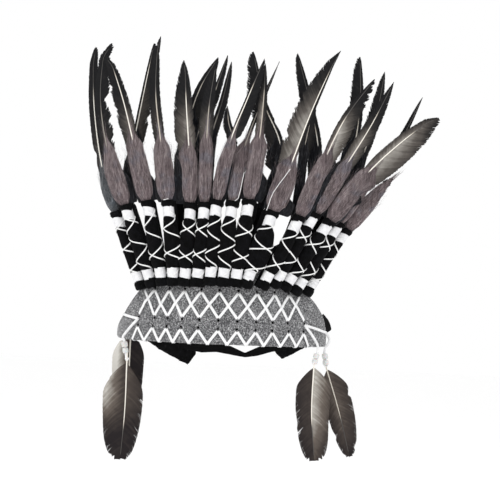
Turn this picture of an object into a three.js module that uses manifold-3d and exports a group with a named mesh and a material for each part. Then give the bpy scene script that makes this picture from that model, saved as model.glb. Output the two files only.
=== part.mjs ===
// A feathered headdress. A felt band curves round the front of the head. Cloth-wrapped stems stand on its
// upper half, and each holds a plume: a soft fluff with a long feather rising out of it. A second row of
// darker feathers stands inside the band. White lace crosses the band's face, and beads and feathers hang
// from its two ends. Cloth tabs and a narrow elastic close the ring behind.
//
// Millimetres. +X is to the right as seen from the front, +Y points to the back and +Z is up. The origin is
// the middle of the head opening, level with the band's lower edge. Places round the ring are angles in
// degrees: 0 is the middle of the front, 90 is the right side and 180 is the middle of the back. Leans are
// degrees from upright, to the right, as seen from the front.

import * as THREE from 'three';
import { mergeVertices } from 'three/addons/utils/BufferGeometryUtils.js';
import Module from 'manifold-3d';

const wasm = await Module();
wasm.setup();

// Driving dimensions.
const halfWidth = 98; // of the head ring, on the felt's middle surface
const frontDepth = 84;
const backDepth = 58;
const gap = 0.3; // between neighbouring pieces
const feltThickness = 3;
const feltHeight = 64; // its upper part is hidden behind the stems
const feltPeak = 77; // where it shows in the widest space between two stems
const tabThickness = 2;
const elasticThickness = 1.4;
const laceWidth = 2.6;
const laceThickness = 0.9;
const laceHoleRadius = 1;
const stemRadius = 4.7;
const wrapRadius = 5.1; // white thread wound round each stem, near both ends
const wrapHeight = 9.4;
const stemTail = 9; // from the middle of the lower wrap to the stem's lower end
const stemHead = 10; // from the middle of the upper wrap to the stem's upper end
const stemEndRadius = 4;
const wrapEdge = 0.2; // along the stem, from its cloth up on to a wrap
const backRollRadius = 3.5;
const backRollHead = 8; // from the roll's upper knot to the fluff's first section
const vaneBaseThickness = 2.2;
const vaneTipThickness = 0.7;
const leastVaneWidth = 2; // beside the quill, where a fluff closes in on it
const quillRadius = 0.9; // of a hanging feather
const flareReach = 30; // how far the rows lean forwards at their tips
const flareHeight = 110; // and how gradually
const frontFlareStart = 60;
const backFlareStart = 78;
const strandRadius = 0.9; // lace pulled narrow where it carries beads
const laceCrossing = 1.2; // how much further out the second lattice lace lies
const beadBore = 1.25;

// Distances out from the felt's middle surface.
const feltFace = feltThickness / 2;
const laceOffset = feltFace + gap + laceThickness / 2;
const frontRowOffset = feltFace + gap + wrapRadius;
const backRowOffset = -(feltFace + gap + backRollRadius);
const insideOffset = -(feltFace + gap + tabThickness / 2);

const colours = {
  felt: 0x8b8c8e,
  lace: 0xf2f2ee,
  cloth: 0x141416,
  plume: 0x6d6265,
  backFeather: 0x1d1d1f,
  dropFeather: 0x4c4440,
  bead: 0xf6f6f2,
};

// Turns rows of numbers into objects with the given names.
function table(names, rows) {
  return rows.map((row) => Object.fromEntries(names.map((name, i) => [name, row[i]])));
}

// The row at one place, with each value drawn straight between the two rows around it.
function between(rows, key, place) {
  const last = rows.length - 1;
  const next = Math.min(last, Math.max(1, rows.findIndex((row) => row[key] >= place)));
  const from = rows[next - 1];
  const to = rows[next];
  const share = THREE.MathUtils.clamp((place - from[key]) / (to[key] - from[key]), 0, 1);
  const names = Object.keys(from);
  return Object.fromEntries(names.map((name) => [name, THREE.MathUtils.lerp(from[name], to[name], share)]));
}

// A point of the head ring, moved out from its middle surface, at a height.
function ringPoint(at, offset, height) {
  const turn = THREE.MathUtils.degToRad(at);
  const depth = Math.cos(turn) > 0 ? frontDepth : backDepth;
  const outward = new THREE.Vector3(depth * Math.sin(turn), -halfWidth * Math.cos(turn), 0).normalize();
  const point = new THREE.Vector3(halfWidth * Math.sin(turn), -depth * Math.cos(turn), height);
  return point.addScaledVector(outward, offset);
}

// A closed solid through rings of points. Each ring has the same count, and fans close the two ends.
function loft(rings) {
  const count = rings[0].length;
  const points = rings.flat();
  const index = [];
  for (let ring = 0; ring < rings.length - 1; ring += 1) {
    for (let i = 0; i < count; i += 1) {
      const a = ring * count + i;
      const b = ring * count + (i + 1) % count;
      index.push(a, b, b + count, a, b + count, a + count);
    }
  }
  const ends = [{ start: 0, backwards: true }, { start: (rings.length - 1) * count, backwards: false }];
  for (const { start, backwards } of ends) {
    const centre = points.length;
    const ring = points.slice(start, start + count);
    points.push(ring.reduce((sum, point) => sum.add(point), new THREE.Vector3()).divideScalar(count));
    for (let i = 0; i < count; i += 1) {
      const a = start + i;
      const b = start + (i + 1) % count;
      index.push(...(backwards ? [b, a, centre] : [a, b, centre]));
    }
  }
  const geometry = new THREE.BufferGeometry().setFromPoints(points);
  geometry.setIndex(signedVolume(points, index) > 0 ? index : index.reverse());
  return geometry;
}

function signedVolume(points, index) {
  let volume = 0;
  for (let i = 0; i < index.length; i += 3) {
    const [a, b, c] = [points[index[i]], points[index[i + 1]], points[index[i + 2]]];
    volume += a.dot(b.clone().cross(c)) / 6;
  }
  return volume;
}

// Solids for cutting and joining.
function toSolid(geometry) {
  const bare = geometry.clone();
  bare.deleteAttribute('normal');
  bare.deleteAttribute('uv');
  const merged = mergeVertices(bare, 1e-5);
  const vertProperties = new Float32Array(merged.attributes.position.array);
  const triVerts = new Uint32Array(merged.index.array);
  return new wasm.Manifold(new wasm.Mesh({ numProp: 3, vertProperties, triVerts }));
}

function toGeometry(solid) {
  const { vertProperties, triVerts } = solid.getMesh();
  const geometry = new THREE.BufferGeometry();
  geometry.setAttribute('position', new THREE.BufferAttribute(vertProperties, 3));
  geometry.setIndex(new THREE.BufferAttribute(triVerts, 1));
  return geometry;
}

function joined(geometries) {
  return toGeometry(geometries.map(toSolid).reduce((whole, part) => whole.add(part)));
}

// Places from one angle to another, no further apart than the step.
function spread(from, to, step) {
  const count = Math.ceil(Math.abs(to - from) / step);
  return Array.from({ length: count + 1 }, (_, i) => THREE.MathUtils.lerp(from, to, i / count));
}

// A wall round the ring. Each row gives its lower and upper edges, and how far out its middle lies.
function wall(rows, thickness, step) {
  const corners = rows.map((row) => row.at);
  const places = corners.slice(1).flatMap((at, i) => spread(corners[i], at, step).slice(i ? 1 : 0));
  return loft(places.map((at) => {
    const { bottom, top, out } = between(rows, 'at', at);
    const [inner, outer] = [out - thickness / 2, out + thickness / 2];
    return [[outer, bottom], [outer, top], [inner, top], [inner, bottom]]
      .map(([offset, height]) => ringPoint(at, offset, height));
  }));
}

// Felt band.
const feltRows = table(['at', 'bottom', 'top', 'out'], [
  [-84, 4, 8, 0],
  [-79, 1, 13, 0],
  [-67, 0, 24, 0],
  [-52, 0, 45, 0],
  [-38, 0, feltHeight, 0],
  [12, 0, feltHeight, 0],
  [20, 0, feltPeak, 0],
  [26, 0, feltPeak, 0],
  [38, 0, feltHeight, 0],
  [55, 0, 46, 0],
  [67, 0, 34, 0],
  [75, 0, 24, 0],
  [80, 0, 13, 0],
  [84, 2, 8, 0],
]);

// Lace on the band. The lattice's upper points are joined to the lower points on either side of them.
const lattice = {
  top: 47.3,
  bottom: 22.8,
  upper: [-46, -38.5, -29, -20, -11, -1.5, 8.5, 18.5, 28.5, 37.5, 45.5],
  lower: [-50, -38, -29.5, -21, -11.5, -1.5, 8.5, 18.5, 28, 37.5, 50],
};
const zigzag = {
  top: 13,
  points: [-50.5, -39, -30, -21.5, -12, -1.5, 8.5, 18.5, 28, 38.5, 49.5],
  spread: 4.6, // degrees from the end points to the feet of their outer legs
};
const holeRise = 2.1; // from a lace's corner to its punched hole

const laceHoles = [
  ...lattice.upper.map((at) => ({ at, height: lattice.top + holeRise })),
  ...lattice.lower.map((at) => ({ at, height: lattice.bottom - holeRise })),
  ...zigzag.points.map((at) => ({ at, height: zigzag.top + holeRise })),
];

function laceHole({ at, height }) {
  const drill = new THREE.CylinderGeometry(laceHoleRadius, laceHoleRadius, 3 * feltThickness, 6);
  const inward = ringPoint(at, -1, height).sub(ringPoint(at, 1, height)).normalize();
  const turn = new THREE.Quaternion().setFromUnitVectors(new THREE.Vector3(0, 1, 0), inward);
  const { x, y, z } = ringPoint(at, 0, height);
  return drill.applyQuaternion(turn).translate(x, y, z);
}

function feltBand() {
  const whole = toSolid(wall(feltRows, feltThickness, 6));
  return toGeometry(laceHoles.reduce((felt, hole) => felt.subtract(toSolid(laceHole(hole))), whole));
}

// A flat lace laid over the band through places round the ring, turning sharply at each of them.
function lace(places, extraOffset) {
  const radius = (halfWidth + frontDepth) / 2;
  const flat = places
    .map(({ at, height }) => new THREE.Vector2(THREE.MathUtils.degToRad(at) * radius, height));
  const directions = flat.slice(1).map((point, i) => point.clone().sub(flat[i]).normalize());
  const corner = (i) => {
    const before = directions[Math.max(0, i - 1)];
    const after = directions[Math.min(directions.length - 1, i)];
    const across = new THREE.Vector2(-before.y - after.y, before.x + after.x).normalize();
    const mitre = laceWidth / 2 / Math.abs(across.x * before.y - across.y * before.x);
    return { point: flat[i], across: across.multiplyScalar(mitre) };
  };
  const corners = flat.map((_, i) => corner(i));
  const sections = corners.flatMap((here, i) => {
    const next = corners[i + 1];
    if (!next) return [here];
    return [here, {
      point: here.point.clone().lerp(next.point, 0.5),
      across: new THREE.Vector2(-directions[i].y, directions[i].x).multiplyScalar(laceWidth / 2),
    }];
  });
  const inner = laceOffset + extraOffset - laceThickness / 2;
  return loft(sections.map(({ point, across }) => [[inner, 1], [inner + laceThickness, 1],
    [inner + laceThickness, -1], [inner, -1]].map(([offset, side]) => {
    const { x, y } = point.clone().addScaledVector(across, side);
    return ringPoint(THREE.MathUtils.radToDeg(x / radius), offset, y);
  })));
}

// The two laces of the lattice each step from an upper point to the next but one's lower point, and back.
function latticeLace(first) {
  const places = lattice.upper.map((_, i) => ((i + first) % 2 === 0
    ? { at: lattice.upper[i], height: lattice.top }
    : { at: lattice.lower[i], height: lattice.bottom }));
  return lace(places, first * laceCrossing);
}

// The edge lace runs from each point down to the lower edge, half way to the next point.
function edgeLace() {
  const foot = 1;
  const places = zigzag.points.flatMap((at, i) => {
    const next = zigzag.points[i + 1] ?? at + 2 * zigzag.spread;
    return [{ at, height: zigzag.top }, { at: (at + next) / 2, height: foot }];
  });
  return lace([{ at: zigzag.points[0] - zigzag.spread, height: foot }, ...places], 0);
}

// Stems and plumes of the front row, from left to right. foot is the height of the lower wrap's middle, and
// span reaches the upper wrap's. The fluff reaches on to where the vane begins. left and right are the
// vane's widths beside its quill, widest says how far along it they lie, and a low roundness gives a blunt
// tip. forward moves a vane clear of the one it crosses.
const frontRow = table(
  ['at', 'foot', 'lean', 'span', 'body', 'fluffLean', 'fluffLength', 'fluff',
    'vaneLean', 'bend', 'vaneLength', 'left', 'right', 'widest', 'roundness', 'forward'],
  [
    [-47.2, 58.5, -21, 52, 5.5, -20, 48, 6, -7, 14, 109, 6, 6.5, 0.3, 0.35, -4],
    [-40.1, 61, -20.5, 56.5, 5.5, -20, 60, 7.8, -4, 32, 98, 3, 9.5, 0.3, 0.35, 2],
    [-32.9, 63, -12.5, 56, 5.5, -15, 62, 7, -17.5, -20, 83, 9.5, 5.5, 0.3, 0.5, 0],
    [-25.9, 63.5, -6, 55, 5.6, -8.5, 58, 7.6, -4, 17, 99, 7, 4.5, 0.2, 0.6, 0],
    [-19.2, 63.5, 2.5, 53, 5.5, -3, 55, 6.8, -5, 3, 82, 13, 6.5, 0.2, 0.7, 0],
    [-12.6, 63.5, 3.5, 54, 5, 0, 63, 5.8, 4.5, 11, 69, 8, 5.5, 0.2, 0.7, 0],
    [-6.1, 65.5, 2.5, 55, 5, 9.5, 60, 5.8, 20, 3, 81, 2, 8.5, 0.3, 0.6, 5],
    [0.4, 65, 4.5, 55, 5.7, 9, 54, 5.8, 19.5, 7, 87, 2, 2.2, 0.4, 1, -5],
    [6.9, 65, 7, 57.5, 5.6, 7.5, 59.5, 7, 2.5, -6, 71, 5, 4, 0.2, 0.7, 0],
    [13.2, 64, 18, 51.5, 5.6, 18.5, 51, 8, 20.5, 7, 113, 15, 3, 0.3, 0.8, 0],
    [22.4, 63, 26, 52, 5.7, 21.5, 65, 7, 29.5, 20, 84, 4, 10, 0.25, 0.6, 2],
    [29.1, 65, 27, 55, 5.4, 30, 58.5, 6.6, 27.5, -9, 87, 4.5, 8.5, 0.25, 0.8, 0],
    [35.1, 62, 31.5, 54, 5.3, 35, 60.5, 8.2, 47.5, 12, 84, 6.5, 19, 0.3, 0.5, 2],
    [41.7, 59, 30, 55, 5.3, 33, 55, 5, 30, -20, 91, 4, 3, 0.25, 0.9, -5],
    [49.6, 59, 29.5, 48.5, 5.5, 37, 58, 7, 45, 10, 14, 4, 4, 0.4, 0.8, 2],
  ],
);

// Feathers of the back row. Each has a slim black roll at its foot and dark down below its vane.
const backRow = table(
  ['at', 'foot', 'lean', 'span', 'fluffLean', 'fluffLength', 'fluff',
    'vaneLean', 'bend', 'vaneLength', 'left', 'right', 'widest', 'roundness', 'forward'],
  [
    [-49, 61, -16.5, 65, 3.5, 59, 5, 9, 2, 91, 3, 10.5, 0.2, 0.35, 0],
    [-25.8, 63.5, -1.5, 61.5, 4.5, 76, 5.4, 22, 24, 63, 4, 8, 0.3, 0.6, 0],
    [-18.4, 63.5, -3, 61.5, 3.5, 58.5, 3.8, 18, -4, 81, 2.5, 6, 0.3, 0.6, 0],
    [-11.4, 64, 0, 61.5, 3, 62, 3.8, 12.5, -7, 68.5, 3, 5.5, 0.25, 0.6, 0],
    [1, 65, 4, 61.5, -2, 59, 3.8, -12, 20, 30, 6, 3, 0.3, 0.8, 0],
    [13.8, 63.5, 8, 59, 17, 57.5, 5, -18, 15, 92, 14, 3.5, 0.2, 0.45, 0],
    [24, 63, 24, 56.5, 6, 63, 5.4, 9, -1, 54, 4.5, 4.5, 0.3, 0.8, 5],
    [31.5, 63, 24, 57, 8, 62, 5.2, -14, -8, 92, 9, 4, 0.2, 0.5, 0],
    [40, 61, 24.5, 61, 22, 71, 5, 2, -17, 84, 11, 4, 0.25, 0.45, 0],
    [48, 59, 27.5, 61, 20, 68, 5, 12.5, -15, 80, 9, 6, 0.25, 0.7, -4],
  ],
);

// The line that a stem and its feather follow, from the stem's lower end to the feather's tip. A stem that
// leans away from the ring stands a little further out, so that its tail clears the felt.
function standingLine(row, rowOffset, flareStart) {
  const leanOut = Math.sin(THREE.MathUtils.degToRad(row.lean)) * Math.sin(THREE.MathUtils.degToRad(row.at));
  const foot = ringPoint(row.at, rowOffset + stemTail * leanOut, row.foot);
  const facing = Math.cos(THREE.MathUtils.degToRad(row.at));
  const knots = [{ x: foot.x, z: foot.z }];
  const step = (lean, length) => {
    const turn = THREE.MathUtils.degToRad(lean);
    const { x, z } = knots.at(-1);
    knots.push({ x: x + length * Math.sin(turn), z: z + length * Math.cos(turn) });
  };
  step(row.lean, row.span);
  step(row.fluffLean, row.fluffLength);
  step(row.vaneLean - row.bend / 4, row.vaneLength / 2);
  step(row.vaneLean + row.bend / 4, row.vaneLength / 2);
  knots.unshift({
    x: 2 * knots[0].x - knots[1].x,
    z: 2 * knots[0].z - knots[1].z,
  });
  knots[0] = {
    x: THREE.MathUtils.lerp(knots[1].x, knots[0].x, stemTail / row.span),
    z: THREE.MathUtils.lerp(knots[1].z, knots[0].z, stemTail / row.span),
  };
  return new THREE.CatmullRomCurve3(knots.map(({ x, z }, i) => {
    const height = Math.max(0, z - flareStart);
    const flare = flareReach * (1 - Math.exp(-height / flareHeight));
    const forward = i > 2 ? row.forward : 0;
    return new THREE.Vector3(x, foot.y - facing * flare - forward, z);
  }), false, 'centripetal');
}

// A section across a line: eight points, from the right edge over the front to the left edge and back.
function section(curve, share, facing, { left, right, thickness, cup }) {
  const middle = curve.getPointAt(share);
  const tangent = curve.getTangentAt(share);
  const turn = THREE.MathUtils.degToRad(facing);
  const front = new THREE.Vector3(Math.sin(turn), -Math.cos(turn), 0);
  const side = tangent.clone().cross(front).normalize();
  if (tangent.z < 0) side.negate();
  const outward = front.addScaledVector(tangent, -front.dot(tangent)).normalize();
  const half = thickness / 2;
  return [
    [right, 0], [0.65 * right, 0.75 * half], [0, half], [-0.65 * left, 0.75 * half],
    [-left, 0], [-0.65 * left, -0.75 * half], [0, -half], [0.65 * right, -0.75 * half],
  ].map(([across, out]) => middle.clone()
    .addScaledVector(side, across)
    .addScaledVector(outward, out - cup * Math.abs(across)));
}

const vaneBaseShare = 0.75; // of the vane's full width, at its base

// Vane sizes at one place along it, from 0 at its base to 1 at its tip.
function vaneAt(along, { left, right, widest, roundness }) {
  const rising = vaneBaseShare + (1 - vaneBaseShare) * Math.sin(Math.min(1, along / widest) * Math.PI / 2);
  const past = Math.max(0, (along - widest) / (1 - widest));
  const fullness = rising * (1 - past ** 2) ** roundness;
  return {
    left: Math.max(0.4, left * fullness),
    right: Math.max(0.4, right * fullness),
    thickness: THREE.MathUtils.lerp(vaneBaseThickness, vaneTipThickness, along),
    cup: 0.1,
  };
}

// Fluff sizes at one place along it. It swells from the stem and closes in on the vane's base.
function fluffAt(along, { fluff, left, right }) {
  const swell = 0.55 + 0.45 * Math.sin(Math.PI * along ** 0.8);
  const closing = THREE.MathUtils.smoothstep(along, 0.6, 1);
  return {
    left: THREE.MathUtils.lerp(fluff * swell, Math.max(leastVaneWidth, vaneBaseShare * left), closing),
    right: THREE.MathUtils.lerp(fluff * swell, Math.max(leastVaneWidth, vaneBaseShare * right), closing),
    thickness: THREE.MathUtils.lerp(1.3 * fluff * swell, 2.6, closing),
    cup: 0,
  };
}

const vaneStations = [0.06, 0.18, 0.35, 0.55, 0.75, 0.9, 0.98, 1];
const fluffStations = [0, 0.2, 0.5, 0.8];

// Sections of the fluff and the vane, above a start measured along the line.
function plumeSections(row, curve, start) {
  const length = curve.getLength();
  const vaneStart = length - row.vaneLength;
  const facing = row.at / 2;
  const fluff = fluffStations.map((along) => section(
    curve,
    THREE.MathUtils.lerp(start, vaneStart, along) / length,
    facing,
    fluffAt(along, row),
  ));
  const vane = vaneStations.map((along) => section(
    curve,
    Math.min(1, (vaneStart + along * row.vaneLength) / length),
    facing,
    vaneAt(along, row),
  ));
  return [...fluff, ...vane];
}

function round(radius) {
  return { left: radius, right: radius, thickness: 2 * radius, cup: 0 };
}

// A stem is a roll of black cloth with white thread wound round it in two places.
function stem(row) {
  const curve = standingLine(row, frontRowOffset, frontFlareStart);
  const length = curve.getLength();
  const wrap = (middle) => [
    [middle - wrapHeight / 2 - wrapEdge, stemRadius],
    [middle - wrapHeight / 2, wrapRadius],
    [middle + wrapHeight / 2, wrapRadius],
    [middle + wrapHeight / 2 + wrapEdge, stemRadius],
  ];
  const rings = [
    [0, stemEndRadius],
    ...wrap(stemTail),
    [stemTail + row.span / 2, row.body],
    ...wrap(stemTail + row.span),
    [stemTail + row.span + stemHead, stemEndRadius],
  ];
  return loft(rings.map(([along, radius]) => section(curve, along / length, row.at, round(radius))));
}

function frontPlume(row) {
  const curve = standingLine(row, frontRowOffset, frontFlareStart);
  return loft(plumeSections(row, curve, stemTail + row.span + stemHead + gap));
}

// The back row stands just above the felt's upper edge.
function backFeather(row) {
  const curve = standingLine(row, backRowOffset, backFlareStart);
  const length = curve.getLength();
  const clear = between(feltRows, 'at', row.at).top + backRollRadius - row.foot;
  const low = stemTail + clear / Math.cos(THREE.MathUtils.degToRad(row.lean));
  const roll = [[low, backRollRadius], [(low + row.span) / 2, backRollRadius], [row.span, 0.75 * row.fluff]]
    .map(([along, radius]) => section(curve, along / length, row.at, round(radius)));
  return loft([...roll, ...plumeSections(row, curve, row.span + backRollHead)]);
}

// Cloth tabs, from inside the felt's ends to the back, and the elastic that joins them.
const tabRows = {
  left: table(['at', 'bottom', 'top', 'out'], [
    [-165, -14.5, 2, 0],
    [-160.5, -25, 5, 0],
    [-141.5, -10.5, 19, 0],
    [-131, -1.5, 25, 0],
    [-110, 2, 20, -0.5],
    [-97, 2.5, 12, -1],
    [-88, 2.5, 11, insideOffset],
    [-72, 2.5, 15, insideOffset],
  ]),
  right: table(['at', 'bottom', 'top', 'out'], [
    [76, 6, 29, insideOffset],
    [88, 6, 30, insideOffset],
    [100, 6, 30, -1],
    [125.5, -3, 25, 0],
    [143.5, -15.5, 13, 0],
    [148, -8.5, 8, 0],
  ]),
};
// The right tab's front corner turns out past the felt's end.
const tabCorner = table(['at', 'bottom', 'top', 'out'], [
  [86.5, 12, 31, insideOffset],
  [92, 13, 26, 1.5],
  [97, 15.5, 18, 6.5],
]);
const elasticOffset = -(tabThickness / 2 + gap + elasticThickness / 2);
const elasticRows = table(['at', 'bottom', 'top', 'out'], [
  [139, -7, 4, elasticOffset],
  [149, -8.5, 2, elasticOffset],
  [159, -13.5, -5, elasticOffset],
  [166.5, -15.5, -11, elasticOffset],
  [175, -13.5, -5, elasticOffset],
  [183, -11.5, -2, elasticOffset],
  [192, -12.5, -1, elasticOffset],
  [204, -9, 3, elasticOffset],
]);

function rightTab() {
  return joined([wall(tabRows.right, tabThickness, 8), wall(tabCorner, tabThickness, 8)]);
}

// Strands of lace that carry the drops. They start at the lattice's end holes, cross the felt's face and
// then hang. Each hanging line is straight where it passes through its beads.
const strandOffset = feltFace + gap + strandRadius;
const onFace = (rows) => table(['at', 'height'], rows)
  .map(({ at, height }) => ringPoint(at, strandOffset, height));
const inSpace = (rows) => rows.map(([x, y, z]) => new THREE.Vector3(x, y, z));

const hangingLines = {
  left: inSpace([[-90.2, -38.4, -0.6], [-86.6, -39, -19]]),
  rightInner: inSpace([[90.3, -40.2, -2], [87.2, -41, -16.4]]),
  rightOuter: inSpace([[97.2, -20.4, -4], [99.2, -21, -18.2]]),
};
const strands = {
  left: [
    [...onFace([[-50, 20], [-58, 10.5], [-65.5, 1.5]]), hangingLines.left[0]],
    onFace([[-50, 20], [-58, 21.5], [-66.6, 23.2]]),
  ],
  right: [
    [...onFace([[50, 20], [57, 10.8], [63.5, 1.5]]), hangingLines.rightInner[0]],
    [...onFace([[50, 20], [61, 17], [72, 14.2], [78, 13]]), ...inSpace([[101.6, -17.5, 6.5]]),
      hangingLines.rightOuter[0]],
  ],
};
const strandCorners = 6;

function strand(points) {
  const curve = new THREE.CatmullRomCurve3(points, false, 'centripetal');
  const steps = 2 * (points.length - 1);
  return loft(spread(0, 1, 1 / steps).map((share) => {
    const middle = curve.getPointAt(share);
    const tangent = curve.getTangentAt(share);
    const normal = new THREE.Vector3(0, -1, 0).addScaledVector(tangent, tangent.y).normalize();
    const binormal = tangent.clone().cross(normal);
    return Array.from({ length: strandCorners }, (_, i) => {
      const turn = 2 * Math.PI * i / strandCorners;
      return middle.clone()
        .addScaledVector(normal, strandRadius * Math.cos(turn))
        .addScaledVector(binormal, strandRadius * Math.sin(turn));
    });
  }));
}

function dropLace(faceStrands, lines) {
  return joined([...faceStrands, ...lines].map(strand));
}

// Beads, each threaded on a hanging line at a distance down it.
const beads = table(['line', 'down', 'radius', 'height'], [
  ['left', 4.2, 3, 5.2],
  ['left', 10, 2.8, 5],
  ['rightInner', 6.4, 2.9, 4.6],
  ['rightInner', 11.4, 2.8, 4.4],
  ['rightOuter', 4.8, 3, 5.2],
  ['rightOuter', 10.6, 2.9, 5],
]);

function bead({ line, down, radius, height }) {
  const half = height / 2;
  const profile = [[beadBore, -half], [0.8 * radius, -half], [radius, 0], [0.8 * radius, half],
    [beadBore, half], [beadBore, -half]];
  const geometry = new THREE.LatheGeometry(profile.map(([r, up]) => new THREE.Vector2(r, up)), 10);
  const [from, to] = hangingLines[line];
  const direction = to.clone().sub(from).normalize();
  const { x, y, z } = from.clone().addScaledVector(direction, down);
  const turn = new THREE.Quaternion().setFromUnitVectors(new THREE.Vector3(0, -1, 0), direction);
  return geometry.applyQuaternion(turn).translate(x, y, z);
}

// Feathers that hang below the band's ends. The first stands behind the left end, inside the felt.
const dropRow = table(
  ['x', 'y', 'z', 'lean', 'bend', 'length', 'left', 'right', 'widest', 'roundness', 'facing'],
  [
    [-85, -22, 2, 1, 4, 84, 17, 13.5, 0.2, 0.4, -8],
    [-86.5, -39, -20, -1.5, -6, 91, 21.5, 16.5, 0.45, 0.35, -6],
    [87.1, -41.1, -17.4, 2.5, 12, 87, 15.5, 17.5, 0.5, 0.3, 5],
    [99.4, -21, -19.3, 17, -6, 86, 12, 15, 0.5, 0.4, 12],
  ],
);

function dropFeather(row) {
  const knots = [new THREE.Vector3(row.x, row.y, row.z)];
  for (const lean of [row.lean - row.bend / 4, row.lean + row.bend / 4]) {
    const turn = THREE.MathUtils.degToRad(lean);
    const step = new THREE.Vector3(Math.sin(turn), 0, -Math.cos(turn)).multiplyScalar(row.length / 2);
    knots.push(knots.at(-1).clone().add(step));
  }
  const curve = new THREE.CatmullRomCurve3(knots, false, 'centripetal');
  const quillShare = 0.05; // of the feather's length, above its vane
  const quill = [0, quillShare].map((along) => section(curve, along, row.facing, round(quillRadius)));
  const vane = vaneStations.map((along) => section(
    curve,
    THREE.MathUtils.lerp(quillShare, 1, along),
    row.facing,
    vaneAt(along, row),
  ));
  return loft([...quill, ...vane]);
}

// The assembly.
const group = new THREE.Group();

function place(name, geometry, colour) {
  geometry.computeVertexNormals();
  const material = new THREE.MeshStandardMaterial({ color: colour, roughness: 0.85, metalness: 0 });
  const mesh = new THREE.Mesh(geometry, material);
  mesh.name = name;
  group.add(mesh);
}

function placeRow(name, rows, build, colour) {
  rows.forEach((row, i) => place(`${name}_${String(i + 1).padStart(2, '0')}`, build(row), colour));
}

place('felt_band', feltBand(), colours.felt);
place('lattice_lace_01', latticeLace(0), colours.lace);
place('lattice_lace_02', latticeLace(1), colours.lace);
place('edge_lace', edgeLace(), colours.lace);
placeRow('stem', frontRow, stem, colours.cloth);
placeRow('plume', frontRow, frontPlume, colours.plume);
placeRow('back_feather', backRow, backFeather, colours.backFeather);
place('tab_left', wall(tabRows.left, tabThickness, 8), colours.cloth);
place('tab_right', rightTab(), colours.cloth);
place('back_elastic', wall(elasticRows, elasticThickness, 6), colours.cloth);
place('drop_lace_left', dropLace(strands.left, [hangingLines.left]), colours.lace);
const rightLines = [hangingLines.rightInner, hangingLines.rightOuter];
place('drop_lace_right', dropLace(strands.right, rightLines), colours.lace);
placeRow('bead', beads, bead, colours.bead);
placeRow('drop_feather', dropRow, dropFeather, colours.dropFeather);

export default group;
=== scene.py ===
# The looks of a feathered headdress: felt band with white lacing, cloth-wrapped stems with thread windings,
# soft down, barred and black feathers built barb by barb, and beaded drops.
# Shapes are worked out in millimetres and scaled to metres when each piece is finished.

import math
import random
from types import SimpleNamespace

import bmesh
import bpy
from mathutils import Matrix, Vector, noise


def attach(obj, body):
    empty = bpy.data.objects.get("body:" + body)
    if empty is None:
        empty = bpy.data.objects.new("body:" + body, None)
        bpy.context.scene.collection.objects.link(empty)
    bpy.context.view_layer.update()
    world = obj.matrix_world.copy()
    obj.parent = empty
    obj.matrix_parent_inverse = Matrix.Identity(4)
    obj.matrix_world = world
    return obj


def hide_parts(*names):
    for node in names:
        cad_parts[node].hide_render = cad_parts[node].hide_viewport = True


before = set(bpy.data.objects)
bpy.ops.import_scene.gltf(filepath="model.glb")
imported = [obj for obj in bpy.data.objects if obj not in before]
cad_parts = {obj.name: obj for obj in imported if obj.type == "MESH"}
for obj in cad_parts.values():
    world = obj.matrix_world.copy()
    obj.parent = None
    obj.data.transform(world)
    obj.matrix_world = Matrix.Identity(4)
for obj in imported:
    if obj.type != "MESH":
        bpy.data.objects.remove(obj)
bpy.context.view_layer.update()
mm = 0.001


view = dict(place=(23.4, -1800, 50), target=(23.4, 0, 88.5), roll=2.4, lens=136.4)


def makeCamera():
    place, target = Vector(view["place"]), Vector(view["target"])
    camera = bpy.data.objects.new("camera", bpy.data.cameras.new("camera"))
    camera.data.lens = view["lens"]
    camera.data.sensor_width = 36
    camera.data.clip_end = 20
    turn = (target - place).to_track_quat("-Z", "Y").to_matrix().to_4x4()
    roll = Matrix.Rotation(math.radians(view["roll"]), 4, "Z")
    camera.matrix_world = Matrix.Translation(place * mm) @ turn @ roll
    bpy.context.scene.collection.objects.link(camera)
    bpy.context.scene.camera = camera


lamps = [
    dict(name="keyLight", place=(-0.9, -1.6, 1.5), size=1.2, power=15),
    dict(name="fillLight", place=(1.3, -1.4, 0.5), size=1.2, power=4),
    dict(name="rimLight", place=(0.3, 1.2, 1.4), size=1.0, power=9),
]
studio = dict(sky=1.0, floorHeight=-0.3, floorSize=14, floorColour=(0.99, 0.99, 0.99))


def makeStudio():
    scene = bpy.context.scene
    scene.view_settings.view_transform = "Standard"
    world = bpy.data.worlds.new("studioSky")
    world.use_nodes = True
    background = world.node_tree.nodes["Background"]
    background.inputs["Color"].default_value = (1, 1, 1, 1)
    background.inputs["Strength"].default_value = studio["sky"]
    scene.world = world
    for lamp in lamps:
        light = bpy.data.lights.new(lamp["name"], "AREA")
        light.size = lamp["size"]
        light.energy = lamp["power"]
        holder = bpy.data.objects.new(lamp["name"], light)
        holder.location = lamp["place"]
        holder.rotation_euler = (Vector((0, 0, 0.09)) - holder.location).to_track_quat("-Z", "Y").to_euler()
        scene.collection.objects.link(holder)
    half = studio["floorSize"] / 2
    mesh = bpy.data.meshes.new("floor")
    corners = [(-half, -half, 0), (half, -half, 0), (half, half, 0), (-half, half, 0)]
    mesh.from_pydata([(x, y, studio["floorHeight"]) for x, y, _ in corners], [], [(0, 1, 2, 3)])
    floor = bpy.data.objects.new("floor", mesh)
    scene.collection.objects.link(floor)
    paint = bpy.data.materials.new("floorPaint")
    paint.use_nodes = True
    surface = paint.node_tree.nodes["Principled BSDF"]
    surface.inputs["Base Color"].default_value = (*studio["floorColour"], 1)
    surface.inputs["Roughness"].default_value = 0.9
    mesh.materials.append(paint)


makeCamera()
makeStudio()
print("camera, light and floor are ready")


# Small helpers round node trees, for geometry and for materials.

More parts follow.
